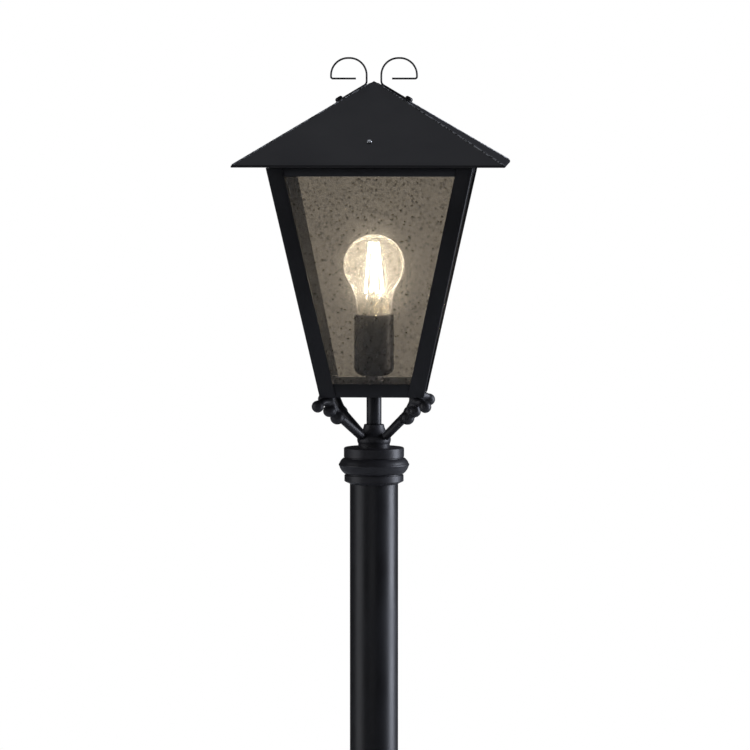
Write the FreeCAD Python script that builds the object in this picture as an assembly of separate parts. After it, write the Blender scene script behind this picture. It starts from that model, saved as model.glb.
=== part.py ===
import FreeCAD, Part

import math
import os

# A four-sided post-top lantern on a steel tube post, in millimetres.
# +Z is up, the origin is the centre of the foot flange's underside, -Y is the front.

Vector = FreeCAD.Vector
AXIS = Vector(0, 0, 1)
CENTRE = Vector(0, 0, 0)

# Foot and post
FLANGE_RADIUS = 90.0
FLANGE_THICKNESS = 8.0
FLANGE_CHAMFER = 1.5
ANCHOR_CIRCLE_RADIUS = 68.0
ANCHOR_HOLE_RADIUS = 6.0
ANCHOR_COUNT = 4
WELD_LEG = 5.0
CABLE_HOLE_RADIUS = 9.0
GROMMET_BORE_RADIUS = 6.0
GROMMET_LIP = 3.0
GROMMET_LIP_HEIGHT = 2.0
POST_RADIUS = 24.15
POST_WALL = 2.6
POST_LENGTH = 805.0

# Cast collar, and the spigot tube that plugs it into the post
SPIGOT_CLEARANCE = 0.3
SPIGOT_WALL = 4.0
SPIGOT_LENGTH = 45.0
COLLAR_SKIRT_HEIGHT = 3.5
COLLAR_SKIRT_OUTSTAND = 0.9
COLLAR_RING_OUTSTAND = 5.4
COLLAR_RING_HEIGHT = 8.3
COLLAR_RING_ROUND = 1.2
COLLAR_NECK_SETBACK = 1.8
COLLAR_BEAD_OUTSTAND = 11.2
COLLAR_BEAD_HEIGHT = 14.5
COLLAR_GROOVE = 1.1
COLLAR_WEB = 7.0
GRUB_RADIUS = 3.0
GRUB_STAND_OUT = 1.0
GRUB_SOCKET_DEPTH = 1.5
GRUB_DROP = 22.0
GRUB_ANGLES = (45.0, 135.0)

# Hub, stem and nipple
HUB_NECK_RADIUS = 15.8
HUB_WAIST_HEIGHT = 4.0
HUB_BULGE = 2.4
HUB_TOP_RADIUS = 10.0
HUB_HEIGHT = 23.0
HUB_SHOULDER_SHARE = 0.52
HUB_CROWN_HOLLOW = 2.2
HUB_CROWN_SHARE = 0.32
STEM_RADIUS = 7.5
STEM_LENGTH = 42.0
NIPPLE_RADIUS = 5.0
NIPPLE_BORE_RADIUS = 3.6
NIPPLE_CLEARANCE = 0.3
NIPPLE_RUN_OUT = 2.0
NUT_ACROSS_FLATS = 15.0
NUT_HEIGHT = 4.0
WASHER_RADIUS = 10.0
WASHER_THICKNESS = 1.2

# Arms
ARM_RADIUS = 4.2
ARM_FOOT_RADIUS = 5.0
ARM_START = 11.0
ARM_START_HEIGHT = 7.0
KNUCKLE_RADIUS = 7.2
BALL_RADIUS = 6.2
BALL_OUTSTAND = 2.4
BOSS_INSET = 14.0
BALL_DROP = 2.6
KNUCKLE_INSET = 11.0
KNUCKLE_DROP = 15.0
KNUCKLE_SHIFT = 1.5
ARM_BENDS = (30.0, 6.0, 6.0)
ARM_ANGLES = {"front_right": -45.0, "back_right": 45.0, "back_left": 135.0, "front_left": 225.0}
ARM_SCREW_RADIUS = 2.0
ARM_SCREW_LENGTH = 10.0
ARM_SCREW_HEAD_RADIUS = 4.0
ARM_SCREW_HEAD_HEIGHT = 2.4

# Lantern body
SHEET = 1.5
FIT_GAP = 0.2
BODY_BOTTOM_SIDE = 103.0
BODY_TOP_SIDE = 202.5
BODY_HEIGHT = 228.0
TRAY_SKIRT = 13.5
CORNER_LEG = 16.0
RAIL_HEIGHT = 8.5
RAIL_FLANGE = 11.0
GLASS_THICKNESS = 3.0
CLIP_THICKNESS = 1.0
CLIP_LEG = 8.0
CLIP_HEIGHT = 20.0
CLIP_END_GAP = 6.0
EARTH_SCREW_RADIUS = 2.0
EARTH_SCREW_REACH = 32.0
EARTH_SCREW_ANGLE = 90.0
EARTH_SCREW_STAND = 9.0
EARTH_NUT_ACROSS_FLATS = 7.0
EARTH_NUT_HEIGHT = 3.2

# Roof
ROOF_SIDE = 266.0
ROOF_RISE = 82.0
ROOF_LIP = 3.0
ROOF_SHEET = 1.2
REST_WIDTH = 30.0
REST_TAB = 14.0
REST_LEG = 8.0
REST_CLEARANCE = 0.8
REST_TAB_CENTRE_INSET = 5.0
RIVET_RADIUS = 1.6
RIVET_HEAD_RADIUS = 2.6
RIVET_HEAD_HEIGHT = 1.3

# Scroll wires on the roof
WIRE_RADIUS = 1.25
WIRE_LIFT = 0.1
EYELET_REACH = 33.5
EYELET_RADIUS = 5.0
EYELET_THICKNESS = 1.4
SCROLL_SCREW_RADIUS = 1.6
SCROLL_HEAD_RADIUS = 4.0
SCROLL_HEAD_HEIGHT = 3.2
SCROLL_NUT_ACROSS_FLATS = 6.0
SCROLL_NUT_HEIGHT = 2.6
SCROLL_SCREW_BELOW = 4.0
SCROLL_FOOT_BEND = 8.0
SCROLL_INNER_REACH = 7.3
SCROLL_OUTER_REACH = 42.8
SCROLL_RISE = 22.0
SCROLL_BEND_RADIUS = 14.0
SCROLL_RETURN_DROP = 20.6
SCROLL_RETURN_BEND = 3.0
SCROLL_RETURN_REACH = 18.0

# Lampholder
HOLDER_RADIUS = 19.8
HOLDER_WALL = 2.4
HOLDER_CUP_HEIGHT = 23.0
HOLDER_CUP_ROUND = 6.0
HOLDER_CUP_FLOOR = 3.0
HOLDER_SHELL_HEIGHT = 38.0
INSULATOR_THICKNESS = 7.0
SLEEVE_WALL = 0.6
SLEEVE_HEIGHT = 25.0
SLEEVE_CLEARANCE = 0.4
CONTACT_THICKNESS = 0.8
CONTACT_WIDTH = 7.0
CONTACT_END_GAP = 3.0

# Bulb
BULB_RADIUS = 30.5
BULB_GLASS_WALL = 0.8
BULB_NECK_RADIUS = 17.3
BULB_NECK_ANGLE = 33.0
BULB_NECK_RISE = 6.0
BULB_SEAT_DEPTH = 3.0
CAP_RADIUS = 13.2
CAP_WALL = 0.5
CAP_HEIGHT = 23.0
CAP_TIP_RADIUS = 4.8
CAP_TIP_HEIGHT = 2.0
CAP_INSULATOR_HEIGHT = 2.5
CAP_INSULATOR_OUTSTAND = 3.0
CAP_SLOPE_WIDTH = 2.0
CAP_SLOPE_HEIGHT = 3.0
STEM_GLASS_RADIUS = 3.0
STEM_GLASS_TOP = 20.0
FILAMENT_RADIUS = 0.9
FILAMENT_LENGTH = 50.0
FILAMENT_COUNT = 4
FILAMENT_TURN = 20.0
FILAMENT_FOOT_REACH = 9.0
FILAMENT_HEAD_REACH = 4.5
SUPPORT_WIRE_RADIUS = 0.35
SUPPORT_WIRE_TAIL = 0.5
MAST_STAND = 1.5

# Levels that follow from the sizes above
POST_TOP = FLANGE_THICKNESS + POST_LENGTH
COLLAR_HEIGHT = COLLAR_SKIRT_HEIGHT + 2 * COLLAR_RING_HEIGHT + COLLAR_BEAD_HEIGHT + 2 * COLLAR_GROOVE
COLLAR_TOP = POST_TOP + COLLAR_HEIGHT
HUB_TOP = COLLAR_TOP + HUB_HEIGHT
TRAY_UNDERSIDE = HUB_TOP + STEM_LENGTH
TRAY_TOP = TRAY_UNDERSIDE + SHEET
BODY_BOTTOM = TRAY_TOP - TRAY_SKIRT
BODY_TOP = BODY_BOTTOM + BODY_HEIGHT
ROOF_BOTTOM = BODY_TOP
ROOF_EAVE = ROOF_BOTTOM + ROOF_LIP
ROOF_PEAK = ROOF_EAVE + ROOF_RISE
ROOF_SLOPE = math.atan2(ROOF_RISE, ROOF_SIDE / 2)
CORNER_REACH = BODY_BOTTOM_SIDE / math.sqrt(2)
BOSS_REACH = CORNER_REACH - BOSS_INSET
FLOOR_NUT_TOP = TRAY_TOP + WASHER_THICKNESS + NUT_HEIGHT
CUP_BOTTOM = FLOOR_NUT_TOP
CUP_TOP = CUP_BOTTOM + HOLDER_CUP_HEIGHT
HOLDER_TOP = CUP_TOP + HOLDER_SHELL_HEIGHT
INSULATOR_TOP = CUP_TOP + INSULATOR_THICKNESS
CONTACT_TOP = INSULATOR_TOP + 3 * CONTACT_THICKNESS
CAP_BOTTOM = CONTACT_TOP + CAP_TIP_HEIGHT + CAP_INSULATOR_HEIGHT + FIT_GAP
CAP_TOP = CAP_BOTTOM + CAP_HEIGHT
SLEEVE_RADIUS = CAP_RADIUS + SLEEVE_CLEARANCE + SLEEVE_WALL
SPIGOT_RADIUS = POST_RADIUS - POST_WALL - SPIGOT_CLEARANCE
STEM_BORE_RADIUS = NIPPLE_RADIUS + NIPPLE_CLEARANCE


def outline(path, to_point):
    """Closed wire: a step is an end point, or an arc's middle and end."""
    start = to_point(*path[0])
    here = start
    edges = []
    for step in path[1:]:
        end = to_point(*step[-2:])
        if len(step) == 4:
            edges.append(Part.Arc(here, to_point(*step[:2]), end).toShape())
        else:
            edges.append(Part.LineSegment(here, end).toShape())
        here = end
    edges.append(Part.LineSegment(here, start).toShape())
    return Part.Wire(edges)


def turned(path):
    """Solid of revolution about the lantern's axis from a path of (radius, height)."""
    wire = outline(path, lambda radius, height: Vector(radius, 0, height))
    return Part.Face(wire).revolve(CENTRE, AXIS, 360)


def rod(radius, bottom, top, x=0.0, y=0.0):
    return Part.makeCylinder(radius, top - bottom, Vector(x, y, bottom), AXIS)


def tube(outer, inner, bottom, top):
    return rod(outer, bottom, top).cut(rod(inner, bottom, top))


def hex_nut(across_flats, hole, bottom, height):
    """Hexagonal nut on the axis."""
    corner = across_flats / math.sqrt(3)
    points = [
        Vector(corner * math.cos(math.radians(a)), corner * math.sin(math.radians(a)), bottom)
        for a in range(0, 361, 60)
    ]
    prism = Part.Face(Part.makePolygon(points)).extrude(AXIS * height)
    return prism.cut(rod(hole, bottom, bottom + height))


def turned_about_axis(shape, degrees):
    copy = shape.copy()
    copy.rotate(CENTRE, AXIS, degrees)
    return copy


def rounded_route(points, radii):
    """Wire through points whose inner corners are rounded to the given radii."""
    edges = []
    here = points[0]
    for before, corner, after, radius in zip(points, points[1:], points[2:], radii):
        back = (before - corner).normalize()
        ahead = (after - corner).normalize()
        half_angle = back.getAngle(ahead) / 2
        setback = radius / math.tan(half_angle)
        arc_start = corner + back * setback
        arc_end = corner + ahead * setback
        bisector = (back + ahead).normalize()
        arc_middle = corner + bisector * (radius / math.sin(half_angle) - radius)
        edges.append(Part.LineSegment(here, arc_start).toShape())
        edges.append(Part.Arc(arc_start, arc_middle, arc_end).toShape())
        here = arc_end
    edges.append(Part.LineSegment(here, points[-1]).toShape())
    return Part.Wire(edges)


def round_bar(route, radius):
    """Bar of round section along a route."""
    start = route.Edges[0].firstVertex().Point
    direction = route.Edges[0].tangentAt(route.Edges[0].FirstParameter)
    section = Part.Wire(Part.makeCircle(radius, start, direction))
    return route.makePipeShell([section], True, True)


def half_width(height):
    """Half of the tapering body's outer side at a height."""
    share = (height - BODY_BOTTOM) / BODY_HEIGHT
    return (BODY_BOTTOM_SIDE + (BODY_TOP_SIDE - BODY_BOTTOM_SIDE) * share) / 2


def tapered_block(bottom, top, inset_x, inset_y):
    """Block that follows the body's taper, set in from its faces; no inset runs past them."""
    wires = []
    for height in (bottom, top):
        half = half_width(height)
        across = BODY_TOP_SIDE if inset_x is None else half - inset_x
        deep = BODY_TOP_SIDE if inset_y is None else half - inset_y
        corners = [(-across, -deep), (across, -deep), (across, deep), (-across, deep), (-across, -deep)]
        wires.append(Part.makePolygon([Vector(x, y, height) for x, y in corners]))
    return Part.makeLoft(wires, True, True)


def quarter(side, bottom, top):
    """Quarter column between two diagonals, on one side of the axis."""
    turn = {"front": -90.0, "right": 0.0, "back": 90.0, "left": 180.0}[side]
    reach = ROOF_SIDE
    points = [Vector(0, 0, bottom), Vector(reach, -reach, bottom), Vector(reach, reach, bottom)]
    wedge = Part.Face(Part.makePolygon(points + points[:1])).extrude(AXIS * (top - bottom))
    return turned_about_axis(wedge, turn)


def corner_angles(inset, thickness, leg, bottom, top):
    """Four tapering angle strips, one in each corner, by corner name."""
    ring = tapered_block(bottom, top, inset, inset)
    ring = ring.cut(tapered_block(bottom, top, inset + thickness, inset + thickness))
    ring = ring.cut(tapered_block(bottom, top, leg, None))
    ring = ring.cut(tapered_block(bottom, top, None, leg))
    angles = {}
    for solid in ring.Solids:
        middle = solid.CenterOfMass
        depth = "front" if middle.y < 0 else "back"
        across = "left" if middle.x < 0 else "right"
        angles[depth + "_" + across] = solid
    return angles


# ---- foot and post ----

def base_flange():
    """Round foot plate with a weld fillet round the post, anchor holes and a cable hole."""
    weld_top = FLANGE_THICKNESS + WELD_LEG
    plate = turned([
        (CABLE_HOLE_RADIUS, 0),
        (FLANGE_RADIUS, 0),
        (FLANGE_RADIUS, FLANGE_THICKNESS - FLANGE_CHAMFER),
        (FLANGE_RADIUS - FLANGE_CHAMFER, FLANGE_THICKNESS),
        (POST_RADIUS + WELD_LEG, FLANGE_THICKNESS),
        (POST_RADIUS, weld_top),
        (POST_RADIUS, FLANGE_THICKNESS),
        (CABLE_HOLE_RADIUS, FLANGE_THICKNESS),
    ])
    for index in range(ANCHOR_COUNT):
        angle = math.radians(45 + 360 / ANCHOR_COUNT * index)
        x = ANCHOR_CIRCLE_RADIUS * math.cos(angle)
        y = ANCHOR_CIRCLE_RADIUS * math.sin(angle)
        plate = plate.cut(rod(ANCHOR_HOLE_RADIUS, 0, FLANGE_THICKNESS, x, y))
    return plate


def cable_grommet():
    """Rubber ring in the flange's cable hole, with a lip on the upper side."""
    return turned([
        (GROMMET_BORE_RADIUS, 0),
        (CABLE_HOLE_RADIUS, 0),
        (CABLE_HOLE_RADIUS, FLANGE_THICKNESS),
        (CABLE_HOLE_RADIUS + GROMMET_LIP, FLANGE_THICKNESS),
        (CABLE_HOLE_RADIUS + GROMMET_LIP, FLANGE_THICKNESS + GROMMET_LIP_HEIGHT),
        (GROMMET_BORE_RADIUS, FLANGE_THICKNESS + GROMMET_LIP_HEIGHT),
    ])


def grub_bore(angle, radius, start, length):
    """Radial cylinder at the grub screws' height."""
    direction = Vector(math.cos(math.radians(angle)), math.sin(math.radians(angle)), 0)
    foot = direction * start + Vector(0, 0, POST_TOP - GRUB_DROP)
    return Part.makeCylinder(radius, length, foot, direction)


def post_tube():
    pipe = tube(POST_RADIUS, POST_RADIUS - POST_WALL, FLANGE_THICKNESS, POST_TOP)
    for angle in GRUB_ANGLES:
        pipe = pipe.cut(grub_bore(angle, GRUB_RADIUS, POST_RADIUS - 2 * POST_WALL, 3 * POST_WALL))
    return pipe


def grub_screws():
    """Socket screws in the post wall, slack, so their tips stand just clear of the spigot."""
    tip = SPIGOT_RADIUS + SPIGOT_CLEARANCE
    length = POST_RADIUS - tip + GRUB_STAND_OUT
    screws = []
    for angle in GRUB_ANGLES:
        screw = grub_bore(angle, GRUB_RADIUS, tip, length)
        socket = grub_bore(angle, GRUB_RADIUS / 2, tip + length - GRUB_SOCKET_DEPTH, GRUB_SOCKET_DEPTH)
        screws.append(screw.cut(socket))
    return Part.makeCompound(screws)


# ---- collar, hub and stem ----

def collar():
    """Cast collar round the spigot tube: two rings with a bead between them, and a web."""
    ring = POST_RADIUS + COLLAR_RING_OUTSTAND
    ring_edge = ring - COLLAR_RING_ROUND
    bead = POST_RADIUS + COLLAR_BEAD_OUTSTAND
    bead_edge = ring - COLLAR_NECK_SETBACK
    skirt = POST_RADIUS + COLLAR_SKIRT_OUTSTAND
    ring_low = POST_TOP + COLLAR_SKIRT_HEIGHT
    ring_low_top = ring_low + COLLAR_RING_HEIGHT
    bead_low = ring_low_top + COLLAR_GROOVE
    bead_top = bead_low + COLLAR_BEAD_HEIGHT
    ring_high = bead_top + COLLAR_GROOVE
    web = COLLAR_TOP - COLLAR_WEB
    return turned([
        (SPIGOT_RADIUS, POST_TOP),
        (skirt, POST_TOP),
        (skirt, ring_low),
        (ring_edge, ring_low),
        (ring, ring_low + COLLAR_RING_HEIGHT / 2, ring_edge, ring_low_top),
        (bead_edge, ring_low_top),
        (bead_edge, bead_low),
        (bead, bead_low + COLLAR_BEAD_HEIGHT / 2, bead_edge, bead_top),
        (bead_edge, ring_high),
        (ring_edge, ring_high),
        (ring, ring_high + COLLAR_RING_HEIGHT / 2, ring_edge, COLLAR_TOP),
        (STEM_BORE_RADIUS, COLLAR_TOP),
        (STEM_BORE_RADIUS, web),
        (SPIGOT_RADIUS, web),
    ])


def collar_spigot():
    """Tube that is welded into the collar and plugs into the post."""
    bore = SPIGOT_RADIUS - SPIGOT_WALL
    return tube(SPIGOT_RADIUS, bore, POST_TOP - SPIGOT_LENGTH, COLLAR_TOP - COLLAR_WEB)


def hub():
    """Moulded boss on the collar that the arms spring from."""
    waist = COLLAR_TOP + HUB_WAIST_HEIGHT
    shoulder = COLLAR_TOP + HUB_HEIGHT * HUB_SHOULDER_SHARE
    return turned([
        (STEM_BORE_RADIUS, COLLAR_TOP),
        (HUB_NECK_RADIUS, COLLAR_TOP),
        (HUB_NECK_RADIUS, waist),
        (HUB_NECK_RADIUS + HUB_BULGE, (waist + shoulder) / 2, HUB_NECK_RADIUS, shoulder),
        (HUB_TOP_RADIUS + HUB_CROWN_HOLLOW, HUB_TOP - HUB_HEIGHT * HUB_CROWN_SHARE, HUB_TOP_RADIUS, HUB_TOP),
        (STEM_BORE_RADIUS, HUB_TOP),
    ])


def stem_tube():
    return tube(STEM_RADIUS, STEM_BORE_RADIUS, HUB_TOP, TRAY_UNDERSIDE)


def threaded_nipple():
    """Hollow threaded rod that ties the collar, hub, stem and floor together and carries the leads."""
    bottom = COLLAR_TOP - COLLAR_WEB - NUT_HEIGHT - NIPPLE_RUN_OUT
    top = CUP_BOTTOM + HOLDER_CUP_FLOOR + NIPPLE_RUN_OUT
    return tube(NIPPLE_RADIUS, NIPPLE_BORE_RADIUS, bottom, top)


def hub_nut():
    bottom = COLLAR_TOP - COLLAR_WEB - NUT_HEIGHT
    return hex_nut(NUT_ACROSS_FLATS, NIPPLE_RADIUS, bottom, NUT_HEIGHT)


def floor_washer():
    return tube(WASHER_RADIUS, NIPPLE_RADIUS, TRAY_TOP, TRAY_TOP + WASHER_THICKNESS)


def floor_nut():
    return hex_nut(NUT_ACROSS_FLATS, NIPPLE_RADIUS, TRAY_TOP + WASHER_THICKNESS, NUT_HEIGHT)


# ---- arms ----

def arm(angle):
    """Cast scroll arm from the hub to a bottom corner, with a knuckle, a ball and a screw boss."""
    crest = BODY_BOTTOM - ARM_RADIUS - FIT_GAP
    ball_centre = Vector(CORNER_REACH + BALL_OUTSTAND, 0, BODY_BOTTOM - BALL_RADIUS - BALL_DROP)
    knuckle = Vector(BOSS_REACH - KNUCKLE_INSET, 0, crest - KNUCKLE_DROP)
    points = [
        Vector(ARM_START, 0, COLLAR_TOP + ARM_START_HEIGHT),
        knuckle,
        Vector(BOSS_REACH - 1, 0, crest),
        Vector(CORNER_REACH - 4, 0, crest),
        ball_centre,
    ]
    casting = round_bar(rounded_route(points, ARM_BENDS), ARM_RADIUS)
    casting = casting.fuse(Part.makeSphere(BALL_RADIUS, ball_centre))
    casting = casting.fuse(Part.makeSphere(KNUCKLE_RADIUS, knuckle + Vector(KNUCKLE_SHIFT, 0, -KNUCKLE_SHIFT)))
    casting = casting.fuse(rod(ARM_FOOT_RADIUS, crest, TRAY_UNDERSIDE, BOSS_REACH))
    casting = casting.cut(arm_screw_shank())
    return turned_about_axis(casting, angle).cut(hub_envelope())


def hub_envelope():
    """The hub without its bore."""
    return hub().fuse(rod(STEM_BORE_RADIUS, COLLAR_TOP, HUB_TOP))


def arm_screw_shank():
    return rod(ARM_SCREW_RADIUS, TRAY_TOP - ARM_SCREW_LENGTH, TRAY_TOP, BOSS_REACH)


def pan_head(radius, height, bottom, x=0.0):
    """Domed screw head standing on a level face."""
    crown = bottom + height
    head = turned([
        (0, bottom),
        (radius, bottom),
        (radius, bottom + height * 0.3),
        (radius * 0.85, bottom + height * 0.82, radius * 0.45, crown),
        (0, crown),
    ])
    head.translate(Vector(x, 0, 0))
    return head


def upside_down(shape, level):
    """Turn a shape that stands on the origin's level plane over, to hang from a level."""
    hung = shape.copy()
    hung.rotate(CENTRE, Vector(1, 0, 0), 180)
    hung.translate(Vector(0, 0, level))
    return hung


def arm_screws():
    screw = arm_screw_shank().fuse(pan_head(ARM_SCREW_HEAD_RADIUS, ARM_SCREW_HEAD_HEIGHT, TRAY_TOP, BOSS_REACH))
    return Part.makeCompound([turned_about_axis(screw, angle) for angle in ARM_ANGLES.values()])


# ---- lantern body ----

def floor_tray():
    """Floor plate with its edges folded down to make the bottom rail."""
    inset = SHEET + FIT_GAP
    tray = tapered_block(BODY_BOTTOM, TRAY_TOP, inset, inset)
    tray = tray.cut(tapered_block(BODY_BOTTOM, TRAY_UNDERSIDE, inset + SHEET, inset + SHEET))
    tray = tray.cut(rod(STEM_BORE_RADIUS, TRAY_UNDERSIDE, TRAY_TOP))
    earth_hole = rod(EARTH_SCREW_RADIUS, TRAY_UNDERSIDE, TRAY_TOP, EARTH_SCREW_REACH)
    tray = tray.cut(turned_about_axis(earth_hole, EARTH_SCREW_ANGLE))
    for angle in ARM_ANGLES.values():
        tray = tray.cut(turned_about_axis(arm_screw_shank(), angle))
    return tray


def earth_screw():
    """Brass earth stud through the floor behind the lampholder, with its nut."""
    head = upside_down(pan_head(2 * EARTH_SCREW_RADIUS, EARTH_SCREW_RADIUS, 0), TRAY_UNDERSIDE)
    head.translate(Vector(EARTH_SCREW_REACH, 0, 0))
    shank = rod(EARTH_SCREW_RADIUS, TRAY_UNDERSIDE, TRAY_TOP + EARTH_SCREW_STAND, EARTH_SCREW_REACH)
    nut = hex_nut(EARTH_NUT_ACROSS_FLATS, EARTH_SCREW_RADIUS, TRAY_TOP, EARTH_NUT_HEIGHT)
    nut.translate(Vector(EARTH_SCREW_REACH, 0, 0))
    return turned_about_axis(Part.makeCompound([head.fuse(shank), nut]), EARTH_SCREW_ANGLE)


def top_rails():
    """Four mitred angle rails round the top, by side."""
    inset = SHEET + FIT_GAP
    bottom = BODY_TOP - RAIL_HEIGHT
    ring = tapered_block(bottom, BODY_TOP, inset, inset)
    ring = ring.cut(tapered_block(bottom, BODY_TOP - SHEET, inset + SHEET, inset + SHEET))
    opening = half_width(BODY_TOP) - inset - RAIL_FLANGE
    hole = Part.makeBox(2 * opening, 2 * opening, RAIL_HEIGHT, Vector(-opening, -opening, bottom))
    ring = ring.cut(hole)
    sides = ("front", "right", "back", "left")
    return {side: ring.common(quarter(side, bottom, BODY_TOP)) for side in sides}


def glass_panes():
    """Four tapering panes: the front and back ones run the full width, the side ones between."""
    outer = SHEET + FIT_GAP
    inner = outer + GLASS_THICKNESS
    bottom = TRAY_TOP + FIT_GAP
    top = BODY_TOP - RAIL_HEIGHT - FIT_GAP
    pair_y = tapered_block(bottom, top, outer, outer).cut(tapered_block(bottom, top, None, inner))
    pair_x = tapered_block(bottom, top, outer, inner + FIT_GAP).cut(tapered_block(bottom, top, inner, None))
    panes = {}
    for solid in pair_y.Solids:
        panes["front" if solid.CenterOfMass.y < 0 else "back"] = solid
    for solid in pair_x.Solids:
        panes["left" if solid.CenterOfMass.x < 0 else "right"] = solid
    return panes


def pane_clips():
    """Small angle clips behind the panes in each corner, near the bottom and near the top."""
    inset = SHEET + GLASS_THICKNESS + 3 * FIT_GAP
    low = TRAY_TOP + CLIP_END_GAP
    high = BODY_TOP - RAIL_HEIGHT - CLIP_END_GAP - CLIP_HEIGHT
    clips = []
    for bottom in (low, high):
        leg = inset + CLIP_LEG
        clips += corner_angles(inset, CLIP_THICKNESS, leg, bottom, bottom + CLIP_HEIGHT).values()
    return Part.makeCompound(clips)


# ---- roof ----

def pyramid(half, bottom, eave, peak):
    """Closed solid of a square roof with an upright lip under the slopes."""
    corners = [(-half, -half), (half, -half), (half, half), (-half, half)]
    low = [Vector(x, y, bottom) for x, y in corners]
    high = [Vector(x, y, eave) for x, y in corners]
    top = Vector(0, 0, peak)
    faces = [Part.Face(Part.makePolygon(low + low[:1]))]
    for index in range(4):
        after = (index + 1) % 4
        lip = [low[index], low[after], high[after], high[index], low[index]]
        faces.append(Part.Face(Part.makePolygon(lip)))
        faces.append(Part.Face(Part.makePolygon([high[index], high[after], top, high[index]])))
    return Part.makeSolid(Part.makeShell(faces))


def roof_outside():
    return pyramid(ROOF_SIDE / 2, ROOF_BOTTOM, ROOF_EAVE, ROOF_PEAK)


def roof_inside():
    """The space under the sheet: the same slopes, one sheet thickness in."""
    half = ROOF_SIDE / 2 - ROOF_SHEET
    drop = ROOF_SHEET / math.cos(ROOF_SLOPE)
    peak = ROOF_PEAK - drop
    return pyramid(half, ROOF_BOTTOM, peak - half * math.tan(ROOF_SLOPE), peak)


def on_slope(reach):
    """Point of the right-hand slope's outer face at a distance from the axis."""
    return Vector(reach, 0, ROOF_PEAK - reach * math.tan(ROOF_SLOPE))


def slope_normal():
    return Vector(math.sin(ROOF_SLOPE), 0, math.cos(ROOF_SLOPE))


def upright_on_slope(shape, reach):
    """Stand a shape that was made on the origin's level plane on the right-hand slope."""
    placed = shape.copy()
    placed.rotate(CENTRE, Vector(0, 1, 0), math.degrees(ROOF_SLOPE))
    placed.translate(on_slope(reach))
    return placed


def rivet_reach():
    """Distance of the roof rest's rivets from the axis, over the top rail."""
    return half_width(BODY_TOP) - REST_TAB_CENTRE_INSET


def roof_panels():
    """Four triangular sheets with lips, mitred along the hips, by side."""
    sheet = roof_outside().cut(roof_inside())
    scroll_hole = upright_on_slope(rod(SCROLL_SCREW_RADIUS, -3 * ROOF_SHEET, ROOF_SHEET), EYELET_REACH)
    rivet_hole = upright_on_slope(rod(RIVET_RADIUS, -3 * ROOF_SHEET, ROOF_SHEET), rivet_reach())
    for degrees in (0, 180):
        sheet = sheet.cut(turned_about_axis(scroll_hole, degrees))
        sheet = sheet.cut(turned_about_axis(rivet_hole, degrees + 90))
    sides = ("front", "right", "back", "left")
    return {side: sheet.common(quarter(side, ROOF_BOTTOM, ROOF_PEAK)) for side in sides}


def mitred_offset(path, distance):
    """The path moved sideways by a distance, with mitred corners."""
    moved = []
    for index, point in enumerate(path):
        normals = []
        for first, second in ((index - 1, index), (index, index + 1)):
            if first >= 0 and second < len(path):
                run = (path[second] - path[first]).normalize()
                normals.append(Vector(-run.z, 0, run.x))
        if len(normals) == 1:
            moved.append(point + normals[0] * distance)
        else:
            share = distance / (1 + normals[0].dot(normals[1]))
            moved.append(point + (normals[0] + normals[1]) * share)
    return moved


def roof_rest():
    """Folded strap under a slope: a riveted tab, a web, a foot on the rail and a locating leg."""
    middle = rivet_reach()
    along = Vector(math.cos(ROOF_SLOPE), 0, -math.sin(ROOF_SLOPE))
    under_sheet = on_slope(middle) - slope_normal() * ROOF_SHEET
    opening = half_width(BODY_TOP) - SHEET - FIT_GAP - RAIL_FLANGE
    web = middle - REST_TAB / 2 * math.cos(ROOF_SLOPE)
    leg = opening - SHEET - REST_CLEARANCE
    path = [
        under_sheet + along * (REST_TAB / 2),
        under_sheet - along * (REST_TAB / 2),
        Vector(web, 0, BODY_TOP + SHEET),
        Vector(leg, 0, BODY_TOP + SHEET),
        Vector(leg, 0, BODY_TOP - REST_LEG),
    ]
    inner = mitred_offset(path, SHEET)
    profile = path + inner[::-1]
    strip = Part.Face(Part.makePolygon(profile + profile[:1])).extrude(Vector(0, REST_WIDTH, 0))
    strip.translate(Vector(0, -REST_WIDTH / 2, 0))
    hole = upright_on_slope(rod(RIVET_RADIUS, -4 * SHEET, SHEET), middle)
    return strip.cut(hole)


def roof_rivets():
    """Domed rivets through the front and back slopes and the straps under them."""
    bottom = -(ROOF_SHEET + SHEET)
    rivet = rod(RIVET_RADIUS, bottom, 0).fuse(pan_head(RIVET_HEAD_RADIUS, RIVET_HEAD_HEIGHT, 0))
    rivet = rivet.fuse(rod(RIVET_HEAD_RADIUS, bottom - 1.0, bottom))
    rivet = upright_on_slope(rivet, rivet_reach())
    return Part.makeCompound([turned_about_axis(rivet, degrees) for degrees in (-90, 90)])


def scroll():
    """Wire on the right-hand slope: an eyelet, a run up the slope, a loop and a straight return."""
    lift = slope_normal() * (WIRE_RADIUS + WIRE_LIFT)
    top = ROOF_PEAK + SCROLL_RISE
    clear_of_head = SCROLL_HEAD_RADIUS + FIT_GAP
    points = [
        on_slope(EYELET_REACH - clear_of_head * math.cos(ROOF_SLOPE)) + lift,
        on_slope(SCROLL_INNER_REACH - lift.x) + lift,
        Vector(SCROLL_INNER_REACH, 0, top),
        Vector(SCROLL_OUTER_REACH, 0, top),
        Vector(SCROLL_OUTER_REACH, 0, top - SCROLL_RETURN_DROP),
        Vector(SCROLL_RETURN_REACH, 0, top - SCROLL_RETURN_DROP),
    ]
    bends = (SCROLL_FOOT_BEND, SCROLL_BEND_RADIUS, SCROLL_BEND_RADIUS, SCROLL_RETURN_BEND)
    wire = round_bar(rounded_route(points, bends), WIRE_RADIUS)
    eyelet = rod(EYELET_RADIUS, WIRE_LIFT, WIRE_LIFT + EYELET_THICKNESS)
    wire = wire.fuse(upright_on_slope(eyelet, EYELET_REACH))
    return wire.cut(upright_on_slope(rod(SCROLL_SCREW_RADIUS, -1, 10), EYELET_REACH))


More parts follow.
